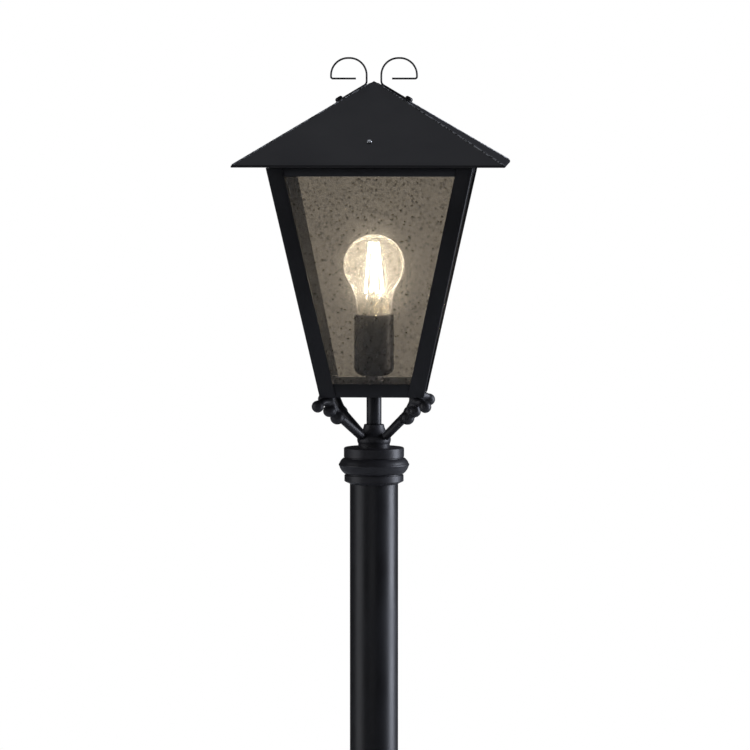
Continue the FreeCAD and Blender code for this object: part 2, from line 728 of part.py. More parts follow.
def scroll_screws():
    """Domed screws that hold the scrolls' eyelets, with nuts under the sheet."""
    seat = WIRE_LIFT + EYELET_THICKNESS
    under = -ROOF_SHEET
    screw = rod(SCROLL_SCREW_RADIUS, under - SCROLL_SCREW_BELOW, seat)
    screw = screw.fuse(pan_head(SCROLL_HEAD_RADIUS, SCROLL_HEAD_HEIGHT, seat))
    nut = hex_nut(SCROLL_NUT_ACROSS_FLATS, SCROLL_SCREW_RADIUS, under - SCROLL_NUT_HEIGHT, SCROLL_NUT_HEIGHT)
    both = [upright_on_slope(screw, EYELET_REACH), upright_on_slope(nut, EYELET_REACH)]
    return Part.makeCompound([turned_about_axis(piece, degrees) for degrees in (0, 180) for piece in both])


# ---- lampholder ----

def lampholder_cup():
    """Lower half of the lampholder, rounded underneath, on the nipple."""
    inner = HOLDER_RADIUS - HOLDER_WALL
    corner = HOLDER_CUP_ROUND * (1 - math.sqrt(0.5))
    return turned([
        (NIPPLE_RADIUS, CUP_BOTTOM),
        (HOLDER_RADIUS - HOLDER_CUP_ROUND, CUP_BOTTOM),
        (HOLDER_RADIUS - corner, CUP_BOTTOM + corner, HOLDER_RADIUS, CUP_BOTTOM + HOLDER_CUP_ROUND),
        (HOLDER_RADIUS, CUP_TOP),
        (inner, CUP_TOP),
        (inner, CUP_BOTTOM + HOLDER_CUP_ROUND),
        (inner - 4, CUP_BOTTOM + HOLDER_CUP_FLOOR),
        (NIPPLE_RADIUS, CUP_BOTTOM + HOLDER_CUP_FLOOR),
    ])


def lampholder_shell():
    return tube(HOLDER_RADIUS, HOLDER_RADIUS - HOLDER_WALL, CUP_TOP, HOLDER_TOP)


def lampholder_insulator():
    """Disc between cup and shell that carries the contact and the threaded sleeve."""
    radius = HOLDER_RADIUS - HOLDER_WALL - FIT_GAP
    disc = rod(radius, CUP_TOP, INSULATOR_TOP)
    for side in (-1, 1):
        disc = disc.cut(rod(1.5, CUP_TOP, INSULATOR_TOP, side * radius * 0.6))
    return disc


def lampholder_sleeve():
    return tube(SLEEVE_RADIUS, SLEEVE_RADIUS - SLEEVE_WALL, INSULATOR_TOP, INSULATOR_TOP + SLEEVE_HEIGHT)


def lampholder_contact():
    """Springy centre contact: a flat strip folded back on itself."""
    reach = SLEEVE_RADIUS - SLEEVE_WALL - CONTACT_END_GAP
    width = CONTACT_WIDTH
    foot = Part.makeBox(reach + CONTACT_END_GAP, width, CONTACT_THICKNESS,
                        Vector(-CONTACT_END_GAP, -width / 2, INSULATOR_TOP))
    fold = Part.makeBox(CONTACT_THICKNESS, width, 2 * CONTACT_THICKNESS,
                        Vector(reach - CONTACT_THICKNESS, -width / 2, INSULATOR_TOP + CONTACT_THICKNESS))
    tongue = Part.makeBox(reach + CONTACT_END_GAP - CONTACT_THICKNESS, width, CONTACT_THICKNESS,
                          Vector(-CONTACT_END_GAP, -width / 2, INSULATOR_TOP + 2 * CONTACT_THICKNESS))
    return foot.fuse(fold).fuse(tongue)


# ---- bulb ----

def bulb_profile(inset):
    """Pear outline, from the neck up to the crown, set in by a glass thickness."""
    neck = BULB_NECK_RADIUS - inset
    angle = math.radians(BULB_NECK_ANGLE)
    flare = (BULB_RADIUS * math.cos(angle) - BULB_NECK_RADIUS) / (1 - math.cos(angle))
    neck_top = CAP_TOP + BULB_NECK_RISE
    centre = neck_top + (flare + BULB_RADIUS) * math.sin(angle)
    flare_in = flare + inset
    globe = BULB_RADIUS - inset
    half = angle / 2
    flare_centre = BULB_NECK_RADIUS + flare
    crown = (math.radians(90) - angle) / 2
    return [
        (neck, neck_top),
        (flare_centre - flare_in * math.cos(half), neck_top + flare_in * math.sin(half),
         flare_centre - flare_in * math.cos(angle), neck_top + flare_in * math.sin(angle)),
        (globe * math.cos(crown), centre + globe * math.sin(crown), 0, centre + globe),
    ]


def bulb_glass():
    """Pear-shaped hollow envelope that narrows into the cap."""
    cap_inner = CAP_RADIUS - CAP_WALL
    outer = bulb_profile(0)
    inner = bulb_profile(BULB_GLASS_WALL)
    shoulder = (BULB_NECK_RADIUS + cap_inner) / 2 + 1.2
    body = turned([(0, CAP_TOP - BULB_SEAT_DEPTH), (cap_inner, CAP_TOP - BULB_SEAT_DEPTH), (cap_inner, CAP_TOP),
                   (shoulder, CAP_TOP + 1.6, *outer[0])] + outer[1:])
    hollow = turned([(0, CAP_TOP - BULB_SEAT_DEPTH), (cap_inner - BULB_GLASS_WALL, CAP_TOP - BULB_SEAT_DEPTH),
                     (cap_inner - BULB_GLASS_WALL, CAP_TOP + BULB_GLASS_WALL),
                     (shoulder - BULB_GLASS_WALL, CAP_TOP + 1.6 + BULB_GLASS_WALL, *inner[0])] + inner[1:])
    return body.cut(hollow)


def bulb_stem():
    """Glass flare and post inside the envelope that carry the filaments."""
    edge = CAP_RADIUS - CAP_WALL - BULB_GLASS_WALL
    return turned([
        (0, CAP_TOP - BULB_SEAT_DEPTH),
        (edge, CAP_TOP - BULB_SEAT_DEPTH),
        (edge, CAP_TOP - 1.5),
        (STEM_GLASS_RADIUS * 1.6, CAP_TOP + 3, STEM_GLASS_RADIUS, CAP_TOP + 10),
        (STEM_GLASS_RADIUS, CAP_TOP + STEM_GLASS_TOP - 1),
        (STEM_GLASS_RADIUS - 1, CAP_TOP + STEM_GLASS_TOP),
        (0, CAP_TOP + STEM_GLASS_TOP),
    ])


def bulb_cap():
    """Screw cap: a thin cup with a sloped bottom round the insulator."""
    inner = CAP_RADIUS - CAP_WALL
    return turned([
        (CAP_TIP_RADIUS + CAP_INSULATOR_OUTSTAND, CAP_BOTTOM),
        (CAP_RADIUS - CAP_SLOPE_WIDTH, CAP_BOTTOM),
        (CAP_RADIUS, CAP_BOTTOM + CAP_SLOPE_HEIGHT),
        (CAP_RADIUS, CAP_TOP),
        (inner, CAP_TOP),
        (inner, CAP_BOTTOM + CAP_SLOPE_HEIGHT),
        (inner - CAP_SLOPE_WIDTH, CAP_BOTTOM + CAP_WALL),
        (CAP_TIP_RADIUS + CAP_INSULATOR_OUTSTAND, CAP_BOTTOM + CAP_WALL),
    ])


def bulb_cap_insulator():
    radius = CAP_TIP_RADIUS + CAP_INSULATOR_OUTSTAND
    bottom = CAP_BOTTOM - CAP_INSULATOR_HEIGHT
    return turned([(0, bottom), (CAP_TIP_RADIUS, bottom), (radius, CAP_BOTTOM), (radius, CAP_BOTTOM + CAP_WALL),
                   (0, CAP_BOTTOM + CAP_WALL)])


def bulb_contact():
    return upside_down(pan_head(CAP_TIP_RADIUS, CAP_TIP_HEIGHT, 0), CAP_BOTTOM - CAP_INSULATOR_HEIGHT)


def filament_line(index):
    """Foot and head of one filament."""
    angle = math.radians(FILAMENT_TURN + 360 / FILAMENT_COUNT * index)
    around = Vector(math.cos(angle), math.sin(angle), 0)
    foot = around * FILAMENT_FOOT_REACH + Vector(0, 0, CAP_TOP + STEM_GLASS_TOP + 3)
    reach_out = FILAMENT_HEAD_REACH - FILAMENT_FOOT_REACH
    rise = math.sqrt(FILAMENT_LENGTH ** 2 - reach_out ** 2)
    return foot, around * FILAMENT_HEAD_REACH + Vector(0, 0, foot.z + rise)


def straight_wire(radius, start, end):
    return Part.makeCylinder(radius, (end - start).Length, start, end - start)


def bulb_filaments():
    sticks = []
    for index in range(FILAMENT_COUNT):
        foot, head = filament_line(index)
        sticks.append(straight_wire(FILAMENT_RADIUS, foot, head))
    return Part.makeCompound(sticks)


def bulb_support_wires():
    """Wires from the glass stem to the filaments' feet and a mast with spokes to their heads."""
    stem_top = Vector(0, 0, CAP_TOP + STEM_GLASS_TOP)
    mast_top = Vector(0, 0, filament_line(0)[1].z + MAST_STAND)
    frame = straight_wire(SUPPORT_WIRE_RADIUS, stem_top, mast_top)
    for index in range(FILAMENT_COUNT):
        foot, head = filament_line(index)
        inner_foot = Vector(0, 0, stem_top.z + 1.0)
        along = (head - foot).normalize()
        frame = frame.fuse(straight_wire(SUPPORT_WIRE_RADIUS, inner_foot, foot - along * SUPPORT_WIRE_TAIL))
        spoke_start = mast_top - Vector(0, 0, 1)
        frame = frame.fuse(straight_wire(SUPPORT_WIRE_RADIUS, spoke_start, head + along * SUPPORT_WIRE_TAIL))
    return frame.cut(bulb_filaments())


def pieces():
    """Every piece by node name."""
    bars = corner_angles(0, SHEET, CORNER_LEG, BODY_BOTTOM, BODY_TOP)
    rails = top_rails()
    panes = glass_panes()
    panels = roof_panels()
    made = {
        "base_flange": base_flange(),
        "cable_grommet": cable_grommet(),
        "post_tube": post_tube(),
        "grub_screws": grub_screws(),
        "collar": collar(),
        "collar_spigot": collar_spigot(),
        "hub": hub(),
        "stem_tube": stem_tube(),
        "threaded_nipple": threaded_nipple(),
        "hub_nut": hub_nut(),
        "floor_washer": floor_washer(),
        "floor_nut": floor_nut(),
        "arm_screws": arm_screws(),
        "floor_tray": floor_tray(),
        "earth_screw": earth_screw(),
        "pane_clips": pane_clips(),
        "roof_rest_front": turned_about_axis(roof_rest(), -90),
        "roof_rest_back": turned_about_axis(roof_rest(), 90),
        "roof_rivets": roof_rivets(),
        "scroll_right": scroll(),
        "scroll_left": turned_about_axis(scroll(), 180),
        "scroll_screws": scroll_screws(),
        "lampholder_cup": lampholder_cup(),
        "lampholder_shell": lampholder_shell(),
        "lampholder_insulator": lampholder_insulator(),
        "lampholder_sleeve": lampholder_sleeve(),
        "lampholder_contact": lampholder_contact(),
        "bulb_glass": bulb_glass(),
        "bulb_stem": bulb_stem(),
        "bulb_cap": bulb_cap(),
        "bulb_cap_insulator": bulb_cap_insulator(),
        "bulb_contact": bulb_contact(),
        "bulb_filaments": bulb_filaments(),
        "bulb_support_wires": bulb_support_wires(),
    }
    for name, angle in ARM_ANGLES.items():
        made["arm_" + name] = arm(angle)
    for name, bar in bars.items():
        made["corner_bar_" + name] = bar
    for side in ("front", "right", "back", "left"):
        made["top_rail_" + side] = rails[side]
        made["glass_" + side] = panes[side]
        made["roof_panel_" + side] = panels[side]
    return made


def main():
    os.makedirs("parts", exist_ok=True)
    for name, shape in pieces().items():
        shape.exportStep(os.path.join("parts", name + ".step"))


main()
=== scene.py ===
"""Looks of a black four-sided post-top lantern with a lit bulb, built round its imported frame."""

import logging
import math
from collections.abc import Callable, Iterable, Sequence
from dataclasses import dataclass, field
from enum import Enum
from functools import cached_property

import bmesh
import bpy
from bmesh.types import BMEdge, BMesh, BMFace, BMVert
from bpy.types import ID, Material, Node, NodeSocket, NodeTree, Object
from mathutils import Matrix, Vector, noise


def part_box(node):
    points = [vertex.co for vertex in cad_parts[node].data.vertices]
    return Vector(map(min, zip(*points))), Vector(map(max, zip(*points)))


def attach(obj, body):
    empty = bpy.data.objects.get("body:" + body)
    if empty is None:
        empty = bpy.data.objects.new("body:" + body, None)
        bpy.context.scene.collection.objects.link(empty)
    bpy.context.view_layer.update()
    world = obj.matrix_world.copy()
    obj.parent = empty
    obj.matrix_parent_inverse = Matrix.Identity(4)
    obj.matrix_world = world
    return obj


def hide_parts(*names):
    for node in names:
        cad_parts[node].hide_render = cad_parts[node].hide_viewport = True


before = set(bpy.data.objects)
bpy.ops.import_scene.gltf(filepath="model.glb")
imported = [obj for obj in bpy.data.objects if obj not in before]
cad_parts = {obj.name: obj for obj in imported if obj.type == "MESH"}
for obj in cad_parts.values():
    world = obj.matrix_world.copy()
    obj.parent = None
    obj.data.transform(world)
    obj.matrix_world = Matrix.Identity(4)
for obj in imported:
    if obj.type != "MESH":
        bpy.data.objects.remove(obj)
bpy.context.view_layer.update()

MM = 0.001
WELD_DISTANCE = 1e-6
SHARP_DEGREES = 30.0
FLAT_DEGREES = 0.5
BEND_STEPS = 18
WIRE_SIDES = 14
# The bulge of an outline's rounded corner, a little under a quarter circle
CORNER_BULGE = -0.41
# The span that most of a noise texture's values lie in, and a narrower one for more contrast
NOISE_SPAN = {"From Min": 0.3, "From Max": 0.7}
NARROW_SPAN = {"From Min": 0.35, "From Max": 0.65}
# A colour Mix node's numbers for its two colours and its result
COLOUR_A, COLOUR_B, MIXED = 6, 7, 2
WHITE = "#ffffff"
UP = Vector((0, 0, 1))
LOG = logging.getLogger("lantern")


# ---- small tools for colours and nodes ----

def linear(code: str) -> tuple[float, float, float, float]:
    """Turn an sRGB hex colour into linear red, green, blue and an alpha of one.

    Args:
        code: a colour such as "#1b1b1e".

    Returns:
        Four numbers for a colour socket.
    """
    channels = [int(code[start:start + 2], 16) / 255 for start in (1, 3, 5)]
    curved = [c / 12.92 if c <= 0.04045 else ((c + 0.055) / 1.055) ** 2.4 for c in channels]
    return (*curved, 1.0)


def per_mm(size_mm: float) -> float:
    """Return the texture scale whose pattern repeats about every size_mm millimetres."""
    return 1 / (size_mm * MM)


def add(tree: NodeTree, kind: str, inputs: dict | None = None, **settings: object) -> Node:
    """Add one shader node, with its settings, its input values and its links.

    Args:
        tree: the node tree that gets the node.
        kind: the node's type name, without the ShaderNode that starts it.
        inputs: by input name or number, a value, a socket to link, or a node whose first output is linked.
        settings: the node's own attributes.

    Returns:
        The new node.
    """
    node = tree.nodes.new("ShaderNode" + kind)
    for name, value in settings.items():
        setattr(node, name, value)
    for name, value in (inputs or {}).items():
        if isinstance(value, Node):
            value = value.outputs[0]
        if isinstance(value, NodeSocket):
            tree.links.new(value, node.inputs[name])
        else:
            node.inputs[name].default_value = value
    return node


def placed(name: str, data: ID | None) -> Object:
    """Make an object from its data, put it in the scene and return it."""
    made = bpy.data.objects.new(name, data)
    bpy.context.scene.collection.objects.link(made)
    return made


def aimed(name: str, data: ID, place: Sequence[float], aim: Sequence[float]) -> Object:
    """Put a lamp or a camera at a place, point it at an aim and return it."""
    made = placed(name, data)
    made.location = place
    made.rotation_euler = (Vector(aim) - Vector(place)).to_track_quat("-Z", "Y").to_euler()
    return made


def blank_material(name: str) -> tuple[Material, NodeTree, NodeSocket]:
    """Make an empty node material.

    Args:
        name: the material's name.

    Returns:
        The material, its tree and the Object coordinates socket.
    """
    material = bpy.data.materials.new(name)
    material.use_nodes = True
    tree = material.node_tree
    tree.nodes.clear()
    place = add(tree, "TexCoord").outputs["Object"]
    return material, tree, place


# ---- finishes ----

@dataclass(frozen=True)
class PowderCoat:
    """Polyester powder coat on mild steel: near-black, satin, with a fine orange peel and faint dust.

    The peel breaks soft reflections into a fine grain, and the clouds keep wide faces from looking flat.
    The real peel is about 0.8 mm across; it is drawn coarser so that it shows. Pale grey spots, a painted
    highlight, show where their noise passes its threshold, which it never does at 2.
    """

    name: str = "satin_black_powder_coat"
    colour: str = "#17171a"
    dust: str = "#212226"
    # Pale grey of the painted highlight spots, a dotted glint along the hip welds
    painted_glint: str = "#a6a8ab"
    painted_glint_spot_mm: float = 2.6
    painted_glint_from: float = 2.0
    painted_glint_fade: float = 0.1
    roughness: float = 0.40
    roughness_change: float = 0.10
    peel_mm: float = 2.2
    peel_depth_mm: float = 0.012
    cloud_mm: float = 55.0

    def material(self) -> Material:
        """Build the paint's nodes and return the material."""
        material, tree, place = blank_material(self.name)
        cloud = add(tree, "TexNoise", {"Vector": place, "Scale": per_mm(self.cloud_mm), "Detail": 5.0})
        peel = add(tree, "TexNoise", {"Vector": place, "Scale": per_mm(self.peel_mm), "Detail": 2.0})
        bump = add(tree, "Bump", {"Height": peel, "Strength": 1.0, "Distance": self.peel_depth_mm * MM})
        share = add(tree, "MapRange", {"Value": cloud, **NOISE_SPAN})
        rough = add(tree, "MapRange", {
            "Value": cloud, **NOISE_SPAN, "To Min": self.roughness - self.roughness_change / 2,
            "To Max": self.roughness + self.roughness_change / 2})
        dusty = add(tree, "Mix", {
            0: share, COLOUR_A: linear(self.colour), COLOUR_B: linear(self.dust)}, data_type="RGBA")
        # Pale spots painted where this noise passes the threshold: a painted highlight, which the plain coat
        # never reaches
        glint_noise = add(tree, "TexNoise", {"Vector": place, "Scale": per_mm(self.painted_glint_spot_mm), "Detail": 1.0})
        painted_glint_share = add(tree, "MapRange", {
            "Value": glint_noise, "From Min": self.painted_glint_from, "From Max": self.painted_glint_from + self.painted_glint_fade})
        coat = add(tree, "Mix", {
            0: painted_glint_share, COLOUR_A: dusty.outputs[MIXED], COLOUR_B: linear(self.painted_glint)}, data_type="RGBA")
        painted = add(tree, "BsdfPrincipled", {
            "Base Color": coat.outputs[MIXED], "Roughness": rough, "Normal": bump, "IOR": 1.5})
        add(tree, "OutputMaterial", {"Surface": painted})
        return material


@dataclass(frozen=True)
class WeldCoatWithPaintedGlints(PowderCoat):
    """The same powder coat on a ground weld, with pale grey spots painted on as a dotted highlight along the
    hips.
    """

    name: str = "black_powder_coat_with_painted_glints"
    dust: str = "#2b2c2f"
    # Low enough that the painted highlight spots show along the welds
    painted_glint_from: float = 0.46
    cloud_mm: float = 9.0


@dataclass(frozen=True)
class CastPaint(PowderCoat):
    """Black enamel on a sand casting: the sand's grain shows through as a soft, uneven pitting."""

    name: str = "black_enamel_on_casting"
    colour: str = "#242427"
    dust: str = "#323236"
    roughness: float = 0.42
    peel_mm: float = 3.2
    peel_depth_mm: float = 0.06
    cloud_mm: float = 22.0


@dataclass(frozen=True)
class WirePaint(PowderCoat):
    """Thin black enamel on drawn wire: glossier than the sheet, because the wire under it is smooth."""

    name: str = "black_enamel_on_wire"
    colour: str = "#343436"
    dust: str = "#48484a"
    roughness: float = 0.36
    peel_mm: float = 1.4
    peel_depth_mm: float = 0.008
    cloud_mm: float = 12.0


def rim(tree: NodeTree, face_on: float, edge_on: float, power: float = 5.0) -> Node:
    """Give a share that grows towards a surface's rim, the same from either side of the surface.

    Args:
        tree: the node tree.
        face_on: the share where the surface is seen square on.
        edge_on: the share at the rim.
        power: how late the share grows.

    Returns:
        The node whose first output is the share.
    """
    slant = add(tree, "LayerWeight", {"Blend": 0.5})
    late = add(tree, "Math", {0: slant.outputs["Facing"], 1: power}, operation="POWER")
    return add(tree, "MapRange", {"Value": late, "To Min": face_on, "To Max": edge_on})


@dataclass(frozen=True)
class SmokedSeedyGlass:
    """Smoked soda-lime glass rolled with seeds: grey-brown, see-through, with small dark bubbles.

    A ray meets four faces in two panes, which together pass a fifth of the light. A small part of it is
    bent by the rolled skin, so that a lit filament gets a soft glow. The seeds are 1 to 2 mm across.
    """

    name: str = "smoked_seedy_glass"
    tint: str = "#d7d3cd"
    ripple_tint: str = "#d0ccc5"
    seed_tint: str = "#918c84"
    scatter: str = "#fdf9f0"
    seed_spacing_mm: float = 5.2
    seed_share: float = 0.24
    seed_depth_mm: float = 0.15
    seed_fade: tuple[float, float] = (-0.08, 0.14)
    patch_mm: float = 20.0
    patch_shares: tuple[float, float] = (0.8, 1.15)
    ripple_mm: float = 5.0
    blur_share: float = 0.085
    blur_roughness: float = 1.0
    blur_ior: float = 1.3
    haze_share: float = 0.020
    roughness: float = 0.10
    wave_mm: float = 13.0
    wave_depth_mm: float = 0.03
    mirror_face_on: float = 0.04
    mirror_edge_on: float = 0.9

    def material(self) -> Material:
        """Build the glass's nodes and return the material."""
        material, tree, place = blank_material(self.name)
        cells = add(tree, "TexVoronoi", {"Vector": place, "Scale": per_mm(self.seed_spacing_mm)})
        patches = add(tree, "TexNoise", {"Vector": place, "Scale": per_mm(self.patch_mm), "Detail": 2.0})
        fewer, more = self.patch_shares
        limit = add(tree, "MapRange", {
            "Value": patches, **NARROW_SPAN,
            "To Min": self.seed_share * fewer, "To Max": self.seed_share * more})
        edge = add(tree, "Math", {0: limit, 1: cells.outputs["Distance"]}, operation="SUBTRACT")
        outside, inside = self.seed_fade
        seed = add(tree, "MapRange", {"Value": edge, "From Min": outside, "From Max": inside})
        fine = add(tree, "TexNoise", {"Vector": place, "Scale": per_mm(self.ripple_mm), "Detail": 3.0})
        share = add(tree, "MapRange", {"Value": fine, **NARROW_SPAN})
        waves = add(tree, "TexNoise", {"Vector": place, "Scale": per_mm(self.wave_mm), "Detail": 2.0})
        rolled = add(tree, "Bump", {"Height": waves, "Strength": 1.0, "Distance": self.wave_depth_mm * MM})
        dimpled = add(tree, "Bump", {
            "Height": seed, "Strength": 1.0, "Distance": self.seed_depth_mm * MM, "Normal": rolled})
        clear = add(tree, "Mix", {
            0: share, COLOUR_A: linear(self.tint), COLOUR_B: linear(self.ripple_tint)}, data_type="RGBA")
        dark = add(tree, "Mix", {
            0: seed, COLOUR_A: clear.outputs[MIXED], COLOUR_B: linear(self.seed_tint)}, data_type="RGBA")
        through = add(tree, "BsdfTransparent", {"Color": dark.outputs[MIXED]})
        blur = add(tree, "BsdfRefraction", {
            "Color": dark.outputs[MIXED], "Roughness": self.blur_roughness, "IOR": self.blur_ior,
            "Normal": rolled})
        seen = add(tree, "MixShader", {0: self.blur_share, 1: through, 2: blur})
        glow = add(tree, "BsdfTranslucent", {"Color": linear(self.scatter)})
        dust = add(tree, "BsdfDiffuse", {"Color": linear(self.scatter)})
        haze = add(tree, "MixShader", {0: 0.5, 1: glow, 2: dust})
        hazy = add(tree, "MixShader", {0: self.haze_share, 1: seen, 2: haze})
        mirror = add(tree, "BsdfGlossy", {
            "Color": linear(WHITE), "Roughness": self.roughness, "Normal": dimpled})
        shine = rim(tree, self.mirror_face_on, self.mirror_edge_on)
        glass = add(tree, "MixShader", {0: shine, 1: hazy, 2: mirror})
        add(tree, "OutputMaterial", {"Surface": glass})
        return material


@dataclass(frozen=True)
class ClearBlownGlass:
    """Thin blown bulb glass: almost invisible face on, pale and bright towards its rim.

    A trace of scattering, thicker at the rim where the wall is seen edge on, glows when the filaments
    are lit.
    """

    name: str = "clear_blown_glass"
    tint: str = "#fdfcf8"
    haze: str = "#fffbf4"
    haze_share: float = 0.05
    rim_haze_share: float = 0.45
    haze_power: float = 3.0
    mirror_face_on: float = 0.05
    mirror_share: float = 0.12
    roughness: float = 0.06
    ripple_mm: float = 18.0
    ripple_depth_mm: float = 0.004

    def material(self) -> Material:
        """Build the bulb glass's nodes and return the material."""
        material, tree, place = blank_material(self.name)
        ripple = add(tree, "TexNoise", {"Vector": place, "Scale": per_mm(self.ripple_mm), "Detail": 1.0})
        bump = add(tree, "Bump", {"Height": ripple, "Strength": 1.0, "Distance": self.ripple_depth_mm * MM})
        through = add(tree, "BsdfTransparent", {"Color": linear(self.tint)})
        scatter = add(tree, "BsdfTranslucent", {"Color": linear(self.haze)})
        hazy = add(tree, "MixShader", {
            0: rim(tree, self.haze_share, self.rim_haze_share, self.haze_power), 1: through, 2: scatter})
        mirror = add(tree, "BsdfGlossy", {
            "Color": linear(WHITE), "Roughness": self.roughness, "Normal": bump})
        shine = rim(tree, self.mirror_face_on, self.mirror_share)
        glass = add(tree, "MixShader", {0: shine, 1: hazy, 2: mirror})
        add(tree, "OutputMaterial", {"Surface": glass})
        return material


@dataclass(frozen=True)
class Speckled:
    """A plain solid material with a fine speckle, a cloudy tone and a shallow bump.

    It serves the small pieces: each one names its real material and sets its own colours and gloss.
    """

    name: str
    colour: str
    second: str
    roughness: float
    metallic: float = 0.0
    roughness_swing: float = 0.2
    grain_mm: float = 1.5
    grain_depth_mm: float = 0.01
    stretch: tuple[float, float, float] = (1.0, 1.0, 1.0)
    ior: float = 1.5
    glow: str | None = None
    glow_strength: float = 0.0

    def material(self) -> Material:
        """Build the nodes and return the material."""
        material, tree, place = blank_material(self.name)
        drawn = add(tree, "Mapping", {"Vector": place, "Scale": self.stretch})
        grain = add(tree, "TexNoise", {"Vector": drawn, "Scale": per_mm(self.grain_mm), "Detail": 4.0})
        bump = add(tree, "Bump", {"Height": grain, "Strength": 1.0, "Distance": self.grain_depth_mm * MM})
        share = add(tree, "MapRange", {"Value": grain, **NOISE_SPAN})
        tone = add(tree, "Mix", {
            0: share, COLOUR_A: linear(self.colour), COLOUR_B: linear(self.second)}, data_type="RGBA")
        rough = add(tree, "MapRange", {
            "Value": grain, **NOISE_SPAN, "To Min": self.roughness * (1 - self.roughness_swing),
            "To Max": self.roughness * (1 + self.roughness_swing)})
        sockets = {
            "Base Color": tone.outputs[MIXED], "Roughness": rough, "Metallic": self.metallic, "Normal": bump}
        if self.metallic < 1:
            sockets["IOR"] = self.ior
        if self.glow is not None:
            sockets |= {"Emission Color": linear(self.glow), "Emission Strength": self.glow_strength}
        add(tree, "OutputMaterial", {"Surface": add(tree, "BsdfPrincipled", sockets)})
        return material


@dataclass(frozen=True)
class PaleFloor:
    """Matt pale plaster that looks evenly lit, yet throws only its own soft light back on black paint."""

    name: str = "pale_plaster_floor"
    colour: str = "#dfe0e1"
    second: str = "#d8d9da"
    cloud_mm: float = 160.0
    even_share: float = 0.62

    def material(self) -> Material:
        """Build the floor's nodes and return the material."""
        material, tree, place = blank_material(self.name)
        cloud = add(tree, "TexNoise", {"Vector": place, "Scale": per_mm(self.cloud_mm), "Detail": 4.0})
        tone = add(tree, "Mix", {
            0: cloud, COLOUR_A: linear(self.colour), COLOUR_B: linear(self.second)}, data_type="RGBA")
        plaster = add(tree, "BsdfDiffuse", {"Color": tone.outputs[MIXED], "Roughness": 1.0})
        even = add(tree, "Emission", {"Color": tone.outputs[MIXED], "Strength": 1.0})
        path = add(tree, "LightPath")
        share = add(tree, "Math", {
            0: path.outputs["Is Camera Ray"], 1: self.even_share}, operation="MULTIPLY")
        floor = add(tree, "MixShader", {0: share, 1: plaster, 2: even})
        add(tree, "OutputMaterial", {"Surface": floor})
        return material


# Bakelite, moulded: near-black brown with a soft polish
PHENOLIC = Speckled(
    "phenolic_moulding", "#231f1d", "#2f2925", 0.30, grain_mm=6.0, grain_depth_mm=0.02, ior=1.6)
# Steatite, glazed: warm white and glossy
PORCELAIN = Speckled("glazed_steatite", "#e9e4d6", "#dcd5c4", 0.18, grain_mm=5.0)
# Nickel on brass: pale, slightly yellow metal with fine rolling lines round the piece
NICKEL = Speckled("nickel_on_brass", "#cfc8b8", "#b8b0a0", 0.26, 1.0, grain_mm=2.0, stretch=(1, 1, 6))
# Zinc on steel, electroplated: blue-grey and cloudy
ZINC = Speckled("zinc_plated_steel", "#9da1a6", "#83878c", 0.38, 1.0, grain_mm=2.5, grain_depth_mm=0.02)
# Stainless steel, domed and polished: a bright dot on the dark roof
STAINLESS = Speckled(
    "polished_stainless_steel", "#dcdee0", "#cfd1d3", 0.14, 1.0, grain_mm=1.2, grain_depth_mm=0.002)
# Brass, turned: yellow with turning lines
BRASS = Speckled("turned_brass", "#c79a4b", "#b0853c", 0.30, 1.0, grain_mm=1.5, stretch=(1, 1, 8))
# Rubber, moulded: black, matt, with a dusty bloom
RUBBER = Speckled("moulded_rubber", "#161616", "#222120", 0.72, grain_mm=2.0, grain_depth_mm=0.03)
# Black vitrite glass, fused into the cap
VITRITE = Speckled("black_vitrite", "#0c0c10", "#17171c", 0.12, grain_mm=2.0)
# Phosphor in silicone on a lit filament: so bright that it burns out to white
PHOSPHOR = Speckled(
    "lit_phosphor", "#fff0d0", "#ffe8bf", 0.50, grain_mm=0.8, glow="#fffaf2", glow_strength=92.0)
# Drawn nickel-iron wire inside the bulb
LEAD_WIRE = Speckled("drawn_nickel_iron_wire", "#b9b4a8", "#a39d90", 0.28, 1.0, grain_mm=0.6)


class Finish(Enum):
    """The lantern's finishes, each with its recipe and the record's slot that it belongs to."""

    SHEET = (PowderCoat(), "black_painted_steel")
    # The hip welds' coat, with pale painted highlight spots along the hips
    WELD = (WeldCoatWithPaintedGlints(), "black_painted_steel")
    CASTING = (CastPaint(), "black_painted_casting")
    WIRE = (WirePaint(), "black_wire")
    PANE = (SmokedSeedyGlass(), "smoked_seeded_glass")
    BULB = (ClearBlownGlass(), "clear_bulb_glass")
    PHENOLIC = (PHENOLIC, "phenolic_plastic")
    PORCELAIN = (PORCELAIN, "porcelain")
    NICKEL = (NICKEL, "nickel_plated_brass")
    ZINC = (ZINC, "zinc_plated_steel")
    STAINLESS = (STAINLESS, "bright_fixings")
    BRASS = (BRASS, "brass")
    RUBBER = (RUBBER, "rubber")
    VITRITE = (VITRITE, "black_cap_glass")
    PHOSPHOR = (PHOSPHOR, "glowing_filament")
    LEAD_WIRE = (LEAD_WIRE, "support_wire")

    @property
    def slot(self) -> str:
        """The record's material slot."""
        return self.value[1]

    def material(self) -> Material:
        """Return this finish's material, made once."""
        recipe = self.value[0]
        return bpy.data.materials.get(recipe.name) or recipe.material()


class Body(str, Enum):
    """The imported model's moving bodies."""

    POST = "post"
    HEAD = "head"
    ROOF = "roof"
    BULB = "bulb"


class Side(Enum):
    """The lantern's four sides, each with its turn from the front in degrees."""

    FRONT = ("front", 0.0)
    RIGHT = ("right", 90.0)
    BACK = ("back", 180.0)
    LEFT = ("left", 270.0)

    @property
    def label(self) -> str:
        """The side's name in node names."""
        return self.value[0]

    @property
    def turn(self) -> Matrix:
        """The turn about the axis that takes a front piece to this side."""
        return Matrix.Rotation(math.radians(self.value[1]), 4, "Z")


CORNERS = ("front_left", "front_right", "back_left", "back_right")


# ---- mesh tools ----

